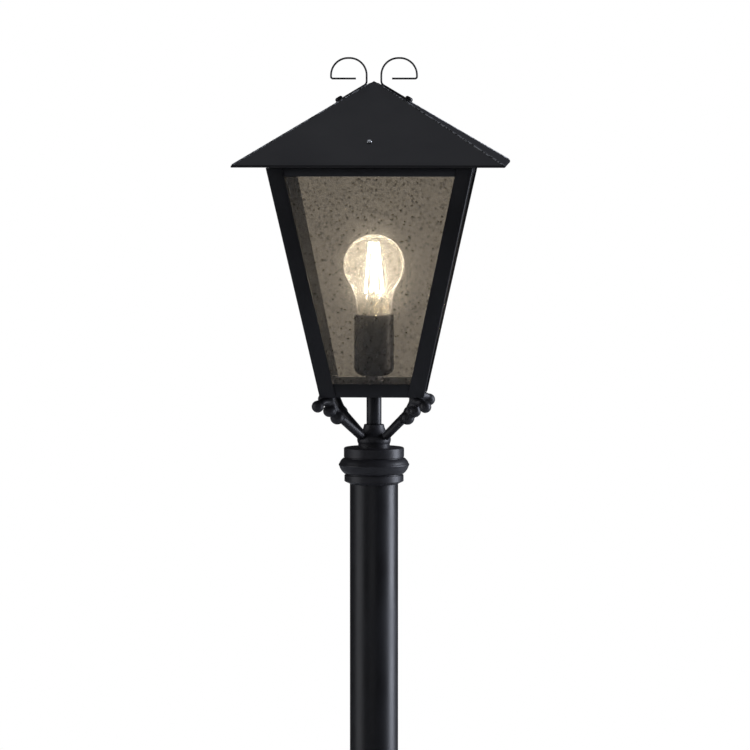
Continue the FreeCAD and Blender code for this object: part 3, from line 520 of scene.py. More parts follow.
@dataclass
class Profile:
    """An outline as (across, up) points in millimetres, drawn step by step."""

    points: list[tuple[float, float]] = field(default_factory=list)

    def to(self, across: float, up: float, steps: int = 1) -> "Profile":
        """Draw a straight run to a point, in a number of equal steps, and return the outline."""
        start = Vector(self.points[-1]) if self.points else Vector((across, up))
        for step in range(1, steps + 1) if self.points else (1,):
            here = start.lerp(Vector((across, up)), step / steps)
            self.points.append((here.x, here.y))
        return self

    def arc(self, across: float, up: float, bulge: float, steps: int = 8) -> "Profile":
        """Draw an arc to a point.

        Args:
            across: the end's distance from the axis.
            up: the end's height.
            bulge: the arc's rise over half its chord, positive to the left of the way it is drawn.
            steps: how many pieces the arc is drawn in.

        Returns:
            The outline.
        """
        start, end = Vector(self.points[-1]), Vector((across, up))
        half = (end - start) / 2
        left = Vector((-half.y, half.x))
        centre = start + half - left * (1 - bulge * bulge) / (2 * bulge)
        sweep = -4 * math.atan(bulge)
        for step in range(1, steps + 1):
            angle = sweep * step / steps
            arm = start - centre
            self.points.append((
                centre.x + arm.x * math.cos(angle) - arm.y * math.sin(angle),
                centre.y + arm.x * math.sin(angle) + arm.y * math.cos(angle)))
        return self


def turned(profile: Profile, closed: bool = True, steps: int = 96) -> BMesh:
    """Spin an outline about the lantern's axis.

    Args:
        profile: the outline, as radius and height.
        closed: whether its last point joins its first.
        steps: how many steps the full turn takes.

    Returns:
        A closed mesh with faces outwards.
    """
    bm = bmesh.new()
    verts = [bm.verts.new((across * MM, 0, up * MM)) for across, up in profile.points]
    pairs = list(zip(verts, verts[1:])) + ([(verts[-1], verts[0])] if closed else [])
    edges = [bm.edges.new(pair) for pair in pairs]
    bmesh.ops.spin(bm, geom=verts + edges, cent=(0, 0, 0), axis=UP, angle=math.tau, steps=steps,
                   use_merge=True)
    tidy(bm)
    return bm


def tidy(bm: BMesh) -> None:
    """Merge doubles and turn every face outwards."""
    bmesh.ops.remove_doubles(bm, verts=bm.verts[:], dist=WELD_DISTANCE)
    bmesh.ops.recalc_face_normals(bm, faces=bm.faces[:])


def soften(bm: BMesh, edges: Iterable[BMEdge], width_mm: float, segments: int = 2) -> None:
    """Round some edges.

    Args:
        bm: the mesh.
        edges: the edges to round.
        width_mm: how far the rounding reaches to each side.
        segments: how many strips it is made of.
    """
    bmesh.ops.bevel(bm, geom=list(edges), offset=width_mm * MM, affect="EDGES", segments=segments,
                    profile=0.5, material=-1, clamp_overlap=True)


def sharp_edges(bm: BMesh) -> list[BMEdge]:
    """List the edges whose two faces meet at more than the sharp angle."""
    limit = math.radians(SHARP_DEGREES)
    return [edge for edge in bm.edges if len(edge.link_faces) == 2 and edge.calc_face_angle() > limit]


def copy_of(node: str) -> BMesh:
    """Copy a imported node's mesh, merged, with its flat faces made whole."""
    bm = bmesh.new()
    bm.from_mesh(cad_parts[node].data)
    bmesh.ops.remove_doubles(bm, verts=bm.verts[:], dist=WELD_DISTANCE)
    bmesh.ops.dissolve_limit(bm, angle_limit=math.radians(FLAT_DEGREES), verts=bm.verts[:], edges=bm.edges[:])
    return bm


def swept(section: Profile, length: Callable[[float], float], cuts: int) -> BMesh:
    """Run an outline along X, on the front side, with each point as long as its own place asks.

    Args:
        section: the outline as distance in front of the axis and height.
        length: gives half the run from a point's distance, so that ends can be mitred.
        cuts: how many times the run is divided.

    Returns:
        A closed mesh.
    """
    bm = bmesh.new()
    first = bm.faces.new([bm.verts.new((0, -out * MM, up * MM)) for out, up in section.points])
    bmesh.ops.spin(bm, geom=[first], cent=(0, 0, 0), axis=UP, dvec=(1 / cuts, 0, 0), angle=0, steps=cuts,
                   use_merge=False)
    for vert in bm.verts:
        vert.co.x = (2 * vert.co.x - 1) * length(-vert.co.y / MM) * MM
    tidy(bm)
    return bm


def wire(route: Sequence[tuple[Vector, float]], radius: float) -> BMesh:
    """Bend a round wire along a route.

    Args:
        route: points in millimetres, each with the radius of the bend there, or none at the ends.
        radius: the wire's radius in millimetres.

    Returns:
        A closed mesh.
    """
    points = [route[0][0]]
    for (before, _), (corner, bend), (after, _) in zip(route, route[1:], route[2:]):
        entry, leave = (before - corner).normalized(), (after - corner).normalized()
        half = entry.angle(leave) / 2
        reach = bend / math.tan(half)
        centre = corner + (entry + leave).normalized() * (bend / math.sin(half))
        arm = corner + entry * reach - centre
        turn_axis = entry.cross(leave).normalized()
        sweep = 2 * half - math.pi
        for step in range(BEND_STEPS + 1):
            points.append(centre + Matrix.Rotation(sweep * step / BEND_STEPS, 3, turn_axis) @ arm)
    points.append(route[-1][0])
    bm = bmesh.new()
    facing = (points[1] - points[0]).to_track_quat("Z", "Y").to_matrix().to_4x4()
    bmesh.ops.create_circle(bm, cap_ends=True, radius=radius * MM, segments=WIRE_SIDES,
                            matrix=Matrix.Translation(points[0] * MM) @ facing)
    end = bm.faces[:][0]
    for here, there, after in zip(points, points[1:], points[2:] + [None]):
        ahead = (there - here).normalized()
        onward = ahead if after is None else (after - there).normalized()
        plane = (ahead + onward).normalized()
        grown = bmesh.ops.extrude_face_region(bm, geom=[end])["geom"]
        if here is not points[0]:
            bmesh.ops.delete(bm, geom=[end], context="FACES_ONLY")
        end = next(item for item in grown if isinstance(item, BMFace))
        for vert in end.verts:
            gap = (there * MM - vert.co).dot(plane) / ahead.dot(plane)
            vert.co += ahead * gap
    tidy(bm)
    return bm


def join(target: BMesh, *others: BMesh) -> BMesh:
    """Put other meshes into the first one and return it."""
    for other in others:
        mesh = bpy.data.meshes.new("joined")
        other.to_mesh(mesh)
        other.free()
        target.from_mesh(mesh)
        bpy.data.meshes.remove(mesh)
    return target


def moved(bm: BMesh, place: Matrix) -> BMesh:
    """Move a mesh's points by a matrix and return it."""
    bmesh.ops.transform(bm, matrix=place, verts=bm.verts[:])
    return bm


@dataclass(frozen=True)
class Piece:
    """A finished piece: its name, finish and body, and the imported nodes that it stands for."""

    name: str
    finish: Finish
    body: Body
    nodes: Sequence[str] = ()

    def make(self, bm: BMesh, smooth: bool = True) -> Object:
        """Turn a mesh into this piece's object.

        Args:
            bm: the mesh, which is used up.
            smooth: whether faces that meet gently are shaded as one surface.

        Returns:
            The piece's object.
        """
        for face in bm.faces:
            face.smooth = smooth
        for edge in sharp_edges(bm):
            edge.smooth = False
        mesh = bpy.data.meshes.new(self.name)
        bm.to_mesh(mesh)
        bm.free()
        mesh.materials.append(self.finish.material())
        piece = placed(self.name, mesh)
        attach(piece, self.body.value)
        if self.nodes:
            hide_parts(*self.nodes)
        LOG.info("%s: %d faces on %s", self.name, len(mesh.polygons), self.body.value)
        return piece

    def rounded(self, width_mm: float, segments: int = 2, smooth: bool = True) -> Object:
        """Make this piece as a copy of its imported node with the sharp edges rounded.

        Args:
            width_mm: how far the rounding reaches to each side of an edge.
            segments: how many strips it is made of.
            smooth: whether faces that meet gently are shaded as one surface.

        Returns:
            The piece's object.
        """
        bm = copy_of(self.nodes[0])
        soften(bm, sharp_edges(bm), width_mm, segments)
        return self.make(bm, smooth)


def levels(node: str) -> tuple[float, float]:
    """Return a node's lowest and highest levels, in millimetres."""
    low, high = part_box(node)
    return low.z / MM, high.z / MM


# ---- the studio ----

@dataclass(frozen=True)
class Softbox:
    """A soft rectangular lamp that points at the lantern."""

    name: str
    place: tuple[float, float, float]
    aim: tuple[float, float, float]
    size: tuple[float, float]
    power: float
    colour: str

    def build(self) -> None:
        """Make the lamp."""
        light = bpy.data.lights.new(self.name, "AREA")
        light.shape = "RECTANGLE"
        light.size, light.size_y = self.size
        light.energy = self.power
        light.color = linear(self.colour)[:3]
        aimed(self.name, light, self.place, self.aim)


@dataclass
class Studio:
    """A white room with a pale floor, soft lamps and the camera."""

    camera_distance: float = 4.9
    camera_turn_degrees: float = 2.7
    camera_height: float = 1.242
    aim: tuple[float, float, float] = (0.001, 0.0, 0.922)
    lens_mm: float = 236.0
    sensor_mm: float = 36.0
    farthest: float = 100.0
    see_through_steps: int = 24
    floor_radius: float = 3.0
    room_light: float = 0.045
    lamps: tuple[Softbox, ...] = (
        Softbox("lamp_right", (2.6, 0.3, 1.3), (0, 0, 0.95), (1.1, 2.6), 80.0, "#ebf0ff"),
        Softbox("lamp_left", (-2.5, -0.75, 1.2), (0, 0, 0.95), (1.8, 2.4), 16.0, "#f8f9ff"),
        Softbox("lamp_front", (-0.5, -4.2, 1.9), (0, 0, 0.95), (2.4, 1.6), 6.5, "#f6f7ff"),
        Softbox("lamp_above", (0.2, 0.9, 3.4), (0, 0, 1.1), (2.4, 1.6), 4.2, "#f2f5ff"),
    )

    def build(self) -> None:
        """Make the camera, the room, the floor and the lamps."""
        self.place_camera()
        self.light_room()
        self.lay_floor()
        for lamp in self.lamps:
            lamp.build()
        scene = bpy.context.scene
        scene.view_settings.view_transform = "Standard"
        scene.cycles.transparent_max_bounces = self.see_through_steps

    def place_camera(self) -> None:
        """Stand the camera a little to the right of the front, just above the roof."""
        data = bpy.data.cameras.new("camera")
        data.lens, data.sensor_width = self.lens_mm, self.sensor_mm
        data.clip_end = self.farthest
        turn = math.radians(self.camera_turn_degrees)
        right, front = self.camera_distance * math.sin(turn), self.camera_distance * math.cos(turn)
        place = (right, -front, self.camera_height)
        bpy.context.scene.camera = aimed("camera", data, place, self.aim)

    def light_room(self) -> None:
        """Give the room white walls to look at and dim walls to be lit by."""
        world = bpy.data.worlds.new("white_room")
        world.use_nodes = True
        tree = world.node_tree
        tree.nodes.clear()
        seen = add(tree, "Background", {"Color": linear(WHITE), "Strength": 1.0})
        lit = add(tree, "Background", {"Color": linear("#f6f7ff"), "Strength": self.room_light})
        path = add(tree, "LightPath")
        looked_at = add(tree, "Math", {
            0: path.outputs["Is Camera Ray"], 1: path.outputs["Is Transmission Ray"]}, operation="MAXIMUM")
        mix = add(tree, "MixShader", {0: looked_at, 1: lit, 2: seen})
        add(tree, "OutputWorld", {"Surface": mix})
        bpy.context.scene.world = world

    def lay_floor(self) -> None:
        """Lay a round pale floor under the foot."""
        bm = bmesh.new()
        bmesh.ops.create_circle(bm, cap_ends=True, radius=self.floor_radius, segments=128)
        mesh = bpy.data.meshes.new("floor")
        bm.to_mesh(mesh)
        bm.free()
        mesh.materials.append(PaleFloor().material())
        floor = placed("floor", mesh)


# ---- sub-assemblies ----

@dataclass
class Foot:
    """The flanged foot and the post's tube, with its grub screws and cable ring."""

    edge_mm: float = 0.6
    tube_edge_mm: float = 0.3
    ring_edge_mm: float = 0.5
    screw_edge_mm: float = 0.25

    def build(self) -> None:
        """Make the foot's pieces."""
        Piece("foot_flange", Finish.SHEET, Body.POST, ["base_flange"]).rounded(self.edge_mm)
        Piece("post_pipe", Finish.SHEET, Body.POST, ["post_tube"]).rounded(self.tube_edge_mm)
        Piece("cable_ring", Finish.RUBBER, Body.POST, ["cable_grommet"]).rounded(self.ring_edge_mm, 3)
        Piece("set_screws", Finish.ZINC, Body.POST, ["grub_screws"]).rounded(self.screw_edge_mm)


@dataclass
class CollarAndHub:
    """The cast collar's two rings and bead, the hub over it and the stem."""

    bore: float = 21.25
    nipple_bore: float = 5.3
    neck_radius: float = 24.6
    neck_height: float = 2.6
    ring_radius: float = 29.6
    ring_top: float = 9.2
    groove_radius: float = 28.2
    groove_slopes: tuple[float, float] = (0.2, 0.3)
    bead_low: float = 10.5
    bead_high: float = 25.9
    bead_foot_radius: float = 30.0
    bead_foot_steps: tuple[float, float] = (-0.4, 0.8)
    bead_radius: float = 34.75
    bead_nose: float = 2.4
    bead_bulges: tuple[float, float, float] = (-0.17, -0.5, -0.16)
    upper_groove_radius: float = 29.2
    upper_slope: float = 0.9
    upper_foot: float = 1.0
    upper_radius: float = 30.1
    upper_round: float = 1.6
    round_mm: float = 0.5
    web: float = 7.0
    web_chamfer: float = 1.0
    tube_edge_mm: float = 0.4
    nut_edge_mm: float = 0.3
    hub_radius: float = 15.8
    hub_bulge: float = 16.8
    hub_waist: float = 4.0
    hub_neck: tuple[float, float] = (0.2, 0.6)
    hub_shoulder: float = 0.52
    hub_top_radius: float = 10.0
    hub_crown_bulge: float = 0.18
    hub_crown_edge: tuple[float, float] = (0.5, 0.4)

    def collar(self) -> BMesh:
        """Turn the collar from the post's rim up: a straight ring, a pointed bead and an upper ring."""
        low, top = levels("collar")
        small, dark, upper_dark = self.round_mm, self.groove_radius, self.upper_groove_radius
        slope_in, slope_out = self.groove_slopes
        foot, shoulder = self.bead_foot_steps
        under, nose, over = self.bead_bulges
        middle = low + (self.bead_low + self.bead_high) / 2
        high = low + self.bead_high
        shape = Profile().to(self.bore, low).to(self.neck_radius - small, low)
        shape.to(self.neck_radius, low + small).to(self.ring_radius - small, low + self.neck_height)
        shape.to(self.ring_radius, low + self.neck_height + small)
        shape.to(self.ring_radius, low + self.ring_top - small, 3)
        shape.arc(self.ring_radius - small, low + self.ring_top, CORNER_BULGE, 3)
        shape.to(dark, low + self.ring_top + slope_in).to(dark, low + self.bead_low - slope_out)
        shape.to(self.bead_foot_radius + foot, low + self.bead_low)
        shape.arc(self.bead_radius, middle, under, 6).arc(self.bead_radius, middle + self.bead_nose, nose, 6)
        shape.arc(self.bead_foot_radius + shoulder, high, over, 6).to(upper_dark, high + slope_in)
        shape.to(upper_dark, high + self.upper_slope)
        shape.to(self.upper_radius - small, high + self.upper_foot)
        shape.to(self.upper_radius, high + self.upper_foot + small)
        shape.to(self.upper_radius, top - self.upper_round, 4)
        shape.arc(self.upper_radius - self.upper_round, top, CORNER_BULGE, 6)
        shape.to(self.nipple_bore, top).to(self.nipple_bore, top - self.web)
        shape.to(self.bore - self.web_chamfer, top - self.web)
        shape.to(self.bore, top - self.web - self.web_chamfer)
        return turned(shape, steps=128)

    def hub(self) -> BMesh:
        """Turn the hub: a neck, a bulge and a drawn-in crown."""
        low, top = levels("hub")
        shoulder = low + self.hub_shoulder * (top - low)
        waist = low + self.hub_waist
        (ridge, ridge_drop), (edge_in, edge_down) = self.hub_neck, self.hub_crown_edge
        shape = Profile().to(self.nipple_bore, low).to(self.hub_radius, low)
        shape.to(self.hub_radius, waist - ridge_drop).to(self.hub_radius + ridge, waist)
        shape.arc(self.hub_radius, shoulder, -2 * (self.hub_bulge - self.hub_radius) / (shoulder - waist), 14)
        shape.arc(self.hub_top_radius, top - edge_down, self.hub_crown_bulge, 12)
        shape.to(self.hub_top_radius - edge_in, top).to(self.nipple_bore, top)
        return turned(shape)

    def build(self) -> None:
        """Make the collar, the hub, the stem and the small pieces that clamp them."""
        Piece("moulded_collar", Finish.CASTING, Body.HEAD, ["collar"]).make(self.collar())
        Piece("collar_tube", Finish.SHEET, Body.HEAD, ["collar_spigot"]).rounded(self.tube_edge_mm)
        Piece("moulded_hub", Finish.CASTING, Body.HEAD, ["hub"]).make(self.hub())
        Piece("stem", Finish.SHEET, Body.HEAD, ["stem_tube"]).rounded(self.tube_edge_mm)
        for name, node in (("nipple", "threaded_nipple"), ("lower_nut", "hub_nut"),
                           ("washer", "floor_washer"), ("upper_nut", "floor_nut")):
            Piece(name, Finish.ZINC, Body.HEAD, [node]).rounded(self.nut_edge_mm)


@dataclass
class Arms:
    """Four cast arms from the hub to the body's corners, each blended into its ball and knuckle."""

    voxel_mm: float = 0.8
    smoothing: int = 16
    smoothing_share: float = 0.5
    knob_radius: float = 6.4
    knob_reach: float = 60.0
    knob_level: float = 889.0
    screw_edge_mm: float = 0.2

    def cast(self, node: str) -> BMesh:
        """Copy a packed arm and blend its joints, as a casting's are.

        Args:
            node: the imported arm.

        Returns:
            The blended mesh.
        """
        rough = copy_of(node)
        low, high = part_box(node)
        outwards = Vector((low.x + high.x, low.y + high.y, 0)).normalized() * self.knob_reach
        knob = outwards + Vector((0, 0, self.knob_level))
        bmesh.ops.create_icosphere(rough, subdivisions=3, radius=self.knob_radius * MM,
                                   matrix=Matrix.Translation(knob * MM))
        bmesh.ops.triangulate(rough, faces=rough.faces[:])
        mesh = bpy.data.meshes.new("rough_arm")
        rough.to_mesh(mesh)
        rough.free()
        form = placed("rough_arm", mesh)
        remesh = form.modifiers.new("cast", "REMESH")
        remesh.mode, remesh.voxel_size = "VOXEL", self.voxel_mm * MM
        smooth = form.modifiers.new("fettled", "SMOOTH")
        smooth.iterations, smooth.factor = self.smoothing, self.smoothing_share
        cast = bpy.data.meshes.new_from_object(form.evaluated_get(bpy.context.evaluated_depsgraph_get()))
        bm = bmesh.new()
        bm.from_mesh(cast)
        bpy.data.objects.remove(form)
        for used in (mesh, cast):
            bpy.data.meshes.remove(used)
        return bm

    def build(self) -> None:
        """Make the four arms and their screws."""
        for corner in CORNERS:
            node = "arm_" + corner
            Piece("cast_arm_" + corner, Finish.CASTING, Body.HEAD, [node]).make(self.cast(node))
        Piece("floor_screws", Finish.ZINC, Body.HEAD, ["arm_screws"]).rounded(self.screw_edge_mm)


@dataclass
class Casing:
    """The tapering body: corner angles, top rails, floor tray, panes and their clips."""

    fold_mm: float = 0.8
    edge_mm: float = 0.28
    pane_edge_mm: float = 0.35
    clip_edge_mm: float = 0.2
    stud_edge_mm: float = 0.25
    shortest_fold: float = 100.0
    off_diagonal: float = 0.1

    def corner_bar(self, node: str) -> BMesh:
        """Copy a corner angle, with a rounded fold outside and softened edges.

        Args:
            node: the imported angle.

        Returns:
            The softened mesh.
        """
        bm = copy_of(node)
        middle = sum((vert.co for vert in bm.verts), Vector()) / len(bm.verts)
        folds = [edge for edge in sharp_edges(bm)
                 if abs(edge.verts[0].co.z - edge.verts[1].co.z) > self.shortest_fold * MM
                 and all(abs(abs(v.co.x) - abs(v.co.y)) < self.off_diagonal * MM for v in edge.verts)
                 and all(v.co.x * middle.x > 0 for v in edge.verts)]
        outer = max(folds, key=lambda edge: sum(abs(v.co.x) for v in edge.verts))
        soften(bm, [outer], self.fold_mm, 5)
        soften(bm, sharp_edges(bm), self.edge_mm)
        return bm

    def build(self) -> None:
        """Make the body's pieces."""
        for corner in CORNERS:
            node = "corner_bar_" + corner
            Piece("folded_bar_" + corner, Finish.SHEET, Body.HEAD, [node]).make(self.corner_bar(node))
        for side in Side:
            rail, pane = "top_rail_" + side.label, "glass_" + side.label
            Piece("mitred_rail_" + side.label, Finish.SHEET, Body.HEAD, [rail]).rounded(self.edge_mm)
            Piece("seedy_pane_" + side.label, Finish.PANE, Body.HEAD, [pane]).rounded(
                self.pane_edge_mm, smooth=False)
        Piece("folded_tray", Finish.SHEET, Body.HEAD, ["floor_tray"]).rounded(self.edge_mm)
        Piece("corner_clips", Finish.SHEET, Body.HEAD, ["pane_clips"]).rounded(self.clip_edge_mm)
        Piece("earth_stud", Finish.BRASS, Body.HEAD, ["earth_screw"]).rounded(self.stud_edge_mm)


@dataclass
class Roof:
    """Four hemmed slopes with welded hips, the rests under them and the rivets."""

    sheet: float = 1.2
    peak_round: float = 4.5
    peak_drop: float = 0.6
    peak_bulge: float = -0.13
    lip: float = 3.0
    fold: float = 0.9
    fold_reach: float = 0.25
    fold_heights: tuple[float, float] = (0.1, -0.4)
    inner_fold: float = 1.2
    inner_fold_height: float = 0.3
    hem_radius: float = 1.1
    hem_gap: float = 0.2
    wave_mm: float = 60.0
    wave_depth_mm: float = 0.35
    wave_lean: float = 0.5
    wave_fade: float = 25.0
    wave_clear: float = 4.0
    weld_radius: float = 1.0
    weld_sides: int = 10
    weld_steps: int = 90
    weld_start: float = 6.5
    weld_end: float = 1.6
    weld_sinks: tuple[float, float] = (0.8, 0.35)
    weld_swell: float = 0.22
    weld_swells_per_metre: float = 420.0
    rest_edge_mm: float = 0.3
    rivet_edge_mm: float = 0.15
    screw_edge_mm: float = 0.25
    scroll_wire: float = 0.95
    scroll_inner: float = 7.3
    scroll_outer: float = 42.8
    scroll_bend: float = 17.0
    scroll_drop: float = 20.4
    scroll_return: float = 18.0
    scroll_clear: float = 0.15
    foot_bend: float = 5.0
    foot_lift: float = 0.3
    foot_short: float = 3.6
    end_bend: float = 1.9
    eyelet_reach: float = 33.5
    eyelet_radius: float = 5.0
    eyelet_hole: float = 1.7
    eyelet_levels: tuple[float, float] = (0.1, 1.5)
    eyelet_edge: float = 0.3

    @cached_property
    def half(self) -> float:
        """Half of the eave's side."""
        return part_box("roof_panel_front")[1].x / MM

    @cached_property
    def peak(self) -> float:
        """The slopes' highest level, where they would meet in a point."""
        return levels("roof_panel_front")[1]

    @cached_property
    def eave(self) -> float:
        """The level where the slope turns down into the lip."""
        return levels("roof_panel_front")[0] + self.lip

    @cached_property
    def pitch(self) -> float:
        """The slope's fall for each millimetre outwards."""
        return (self.peak - self.eave) / self.half

    def panel(self, side: Side) -> BMesh:
        """Sweep one slope with its lip and hem, mitred at both hips.

        Args:
            side: the side that the slope faces.

        Returns:
            The slope's mesh.
        """
        low = levels("roof_panel_front")[0]
        drop = self.sheet * math.hypot(1, self.pitch)
        shape = Profile().to(0, self.peak - self.peak_drop)
        inner, (over, under) = self.half - self.sheet, self.fold_heights
        shape.arc(self.peak_round, self.peak - self.pitch * self.peak_round, self.peak_bulge, 5)
        shape.to(self.half - self.fold, self.eave + self.fold * self.pitch, 24)
        shape.to(self.half - self.fold_reach, self.eave + over).to(self.half, self.eave + under)
        shape.to(self.half, low + self.hem_radius)
        shape.arc(self.half - 2 * self.hem_radius, low + self.hem_radius, -1.0, 6)
        shape.to(inner - self.fold, low + self.hem_radius + self.hem_gap)
        shape.to(inner, self.eave - drop + self.inner_fold_height)
        shape.to(inner - self.inner_fold, self.eave + self.inner_fold * self.pitch - drop)
        shape.to(self.peak_round, self.peak - self.pitch * self.peak_round - drop, 24)
        shape.to(0, self.peak - self.peak_drop - drop)
        bm = swept(shape, lambda out: max(out, 0.0), 48)
        for vert in bm.verts:
            self.dent(vert)
        return moved(bm, side.turn)

    def dent(self, vert: BMVert) -> None:
        """Press a point of the sheet in by a shallow wave that dies out at its edges."""
        out, across = -vert.co.y / MM, abs(vert.co.x / MM)
        edge = min(out - across, self.half - out - self.wave_clear)
        if edge > 0:
            fade = min(1.0, edge / self.wave_fade)
            wave = noise.noise(vert.co / (self.wave_mm * MM)) - self.wave_lean
            vert.co += Vector((0, -self.pitch, 1)).normalized() * wave * fade * self.wave_depth_mm * MM

    def weld(self) -> BMesh:
        """Run a ground weld down the front right hip and turn it to all four."""
        start_sink, end_sink = self.weld_sinks
        start = Vector((1, -1, 0)) * self.weld_start
        start.z = self.peak - self.pitch * self.weld_start - start_sink
        end = Vector((1, -1, 0)) * (self.half - self.weld_end)
        end.z = self.eave + self.weld_end * self.pitch - end_sink
        run = end - start
        bm = bmesh.new()
        bmesh.ops.create_circle(
            bm, cap_ends=True, radius=self.weld_radius * MM, segments=self.weld_sides)
        for _ in range(self.weld_steps):
            cap = max(bm.faces, key=lambda face: face.calc_center_median().z)
            grown = bmesh.ops.extrude_face_region(bm, geom=[cap])
            bmesh.ops.delete(bm, geom=[cap], context="FACES_ONLY")
            ring = [item for item in grown["geom"] if isinstance(item, BMVert)]
            bmesh.ops.translate(bm, verts=ring, vec=(0, 0, run.length * MM / self.weld_steps))
        for vert in bm.verts:
            swell = noise.noise(Vector((0, 0, vert.co.z * self.weld_swells_per_metre)))
            vert.co.xy *= 1 + self.weld_swell * swell
        turn = run.to_track_quat("Z", "Y").to_matrix().to_4x4()
        moved(bm, Matrix.Translation(start * MM) @ turn)
        one = bpy.data.meshes.new("weld")
        bm.to_mesh(one)
        for side in list(Side)[1:]:
            before = set(bm.verts)
            bm.from_mesh(one)
            added = [vert for vert in bm.verts if vert not in before]
            bmesh.ops.transform(bm, matrix=side.turn, verts=added)
        bpy.data.meshes.remove(one)
        tidy(bm)
        return bm

    def on_slope(self, reach: float, lift: float) -> Vector:
        """Give the point that stands a lift off the right-hand slope at a distance from the axis."""
        normal = Vector((self.pitch, 0, 1)).normalized()
        return Vector((reach, 0, self.peak - reach * self.pitch)) + normal * lift

    def scroll(self, label: str) -> BMesh:
        """Bend the scroll's wire and turn its eyelet.

        Args:
            label: the side that the scroll stands on.

        Returns:
            The scroll's mesh.
        """
        top = levels("scroll_right")[1] - self.scroll_wire - self.scroll_clear
        back = top - self.scroll_drop
        inner = self.on_slope(self.scroll_inner, 0) + Vector((0, 0, self.scroll_wire))
        foot = self.on_slope(self.eyelet_reach - self.foot_short, self.scroll_wire + self.foot_lift)
        bm = wire((
            (foot, 0), (inner, self.foot_bend), (Vector((self.scroll_inner, 0, top)), self.scroll_bend),
            (Vector((self.scroll_outer, 0, top)), self.scroll_bend),
            (Vector((self.scroll_outer, 0, back)), self.end_bend),
            (Vector((self.scroll_return, 0, back)), 0)), self.scroll_wire)
        (under, over), small, radius = self.eyelet_levels, self.eyelet_edge, self.eyelet_radius
        ring = Profile().to(self.eyelet_hole, under).to(radius - small, under).to(radius, under + small)
        ring.to(radius, over - small).to(radius - small, over).to(self.eyelet_hole, over)
        eyelet = turned(ring, steps=48)
        tilt = Matrix.Rotation(math.atan(self.pitch), 4, "Y")
        join(bm, moved(eyelet, Matrix.Translation(self.on_slope(self.eyelet_reach, 0) * MM) @ tilt))
        return moved(bm, Matrix.Rotation(0 if label == "right" else math.pi, 4, "Z"))

    def build(self) -> None:
        """Make the roof's pieces."""
        for side in Side:
            node = "roof_panel_" + side.label
            Piece("hemmed_slope_" + side.label, Finish.SHEET, Body.ROOF, [node]).make(self.panel(side))
        # The welds carry pale grey spots painted on as a dotted highlight
        Piece("hip_welds", Finish.WELD, Body.ROOF).make(self.weld())
        for label in ("front", "back"):
            node = "roof_rest_" + label
            Piece("folded_rest_" + label, Finish.SHEET, Body.ROOF, [node]).rounded(self.rest_edge_mm)
        Piece("domed_rivets", Finish.STAINLESS, Body.ROOF, ["roof_rivets"]).rounded(self.rivet_edge_mm)
        for label in ("left", "right"):
            node = "scroll_" + label
            Piece("wire_scroll_" + label, Finish.WIRE, Body.ROOF, [node]).make(self.scroll(label))
        Piece("domed_screws", Finish.SHEET, Body.ROOF, ["scroll_screws"]).rounded(self.screw_edge_mm)


@dataclass
class Lampholder:
    """The moulded lampholder with its insulator, sleeve and contact."""

    radius: float = 19.8
    wall: float = 2.4
    floor_wall: float = 3.0
    corner: float = 9.2
    floor_slope: float = 4.0
    joint: float = 0.35
    joint_steps: tuple[float, float] = (0.3, 0.6)
    joint_levels: tuple[float, float] = (2.0, 2.4)
    mouth_round: float = 1.0
    mouth_land: float = 2.0
    mouth_bulge: float = -0.85
    mouth_step: float = 0.2
    nipple_radius: float = 5.0
    inside_edge_mm: float = 0.15

    def cup(self) -> BMesh:
        """Turn the lower half, rounded underneath, with a fine joint at its rim."""
        low, top = levels("lampholder_cup")
        inner = self.radius - self.wall
        shape = Profile().to(self.nipple_radius, low).to(self.radius - self.corner, low)
        shape.arc(self.radius, low + self.corner, -math.tan(math.pi / 8), 10)
        (step, lip), (upper, lower) = self.joint_steps, self.joint_levels
        shape.to(self.radius, top - lower, 3).to(self.radius - step, top - upper)
        shape.to(self.radius - step, top - self.joint).to(self.radius - lip, top)
        shape.to(inner, top).to(inner, low + self.corner)
        shape.to(inner - self.floor_slope, low + self.floor_wall)
        shape.to(self.nipple_radius, low + self.floor_wall)
        return turned(shape)

    def shell(self) -> BMesh:
        """Turn the upper half, with a rolled mouth."""
        low, top = levels("lampholder_shell")
        inner, lip = self.radius - self.wall, self.joint_steps[1]
        shape = Profile().to(inner, low).to(self.radius - lip, low).to(self.radius, low + lip)
        shape.to(self.radius, top - self.mouth_round - self.mouth_land, 4)
        shape.to(self.radius, top - self.mouth_round)
        shape.arc(inner + self.mouth_step, top - self.mouth_round, self.mouth_bulge, 8)
        shape.to(inner, top - self.mouth_land)
        return turned(shape)

    def build(self) -> None:
        """Make the lampholder's pieces."""
        Piece("moulded_cup", Finish.PHENOLIC, Body.HEAD, ["lampholder_cup"]).make(self.cup())
        Piece("moulded_shell", Finish.PHENOLIC, Body.HEAD, ["lampholder_shell"]).make(self.shell())
        for name, node, finish in (
            ("steatite_disc", "lampholder_insulator", Finish.PORCELAIN),
            ("holder_sleeve", "lampholder_sleeve", Finish.NICKEL),
            ("spring_contact", "lampholder_contact", Finish.NICKEL),
        ):
            Piece(name, finish, Body.HEAD, [node]).rounded(self.inside_edge_mm)


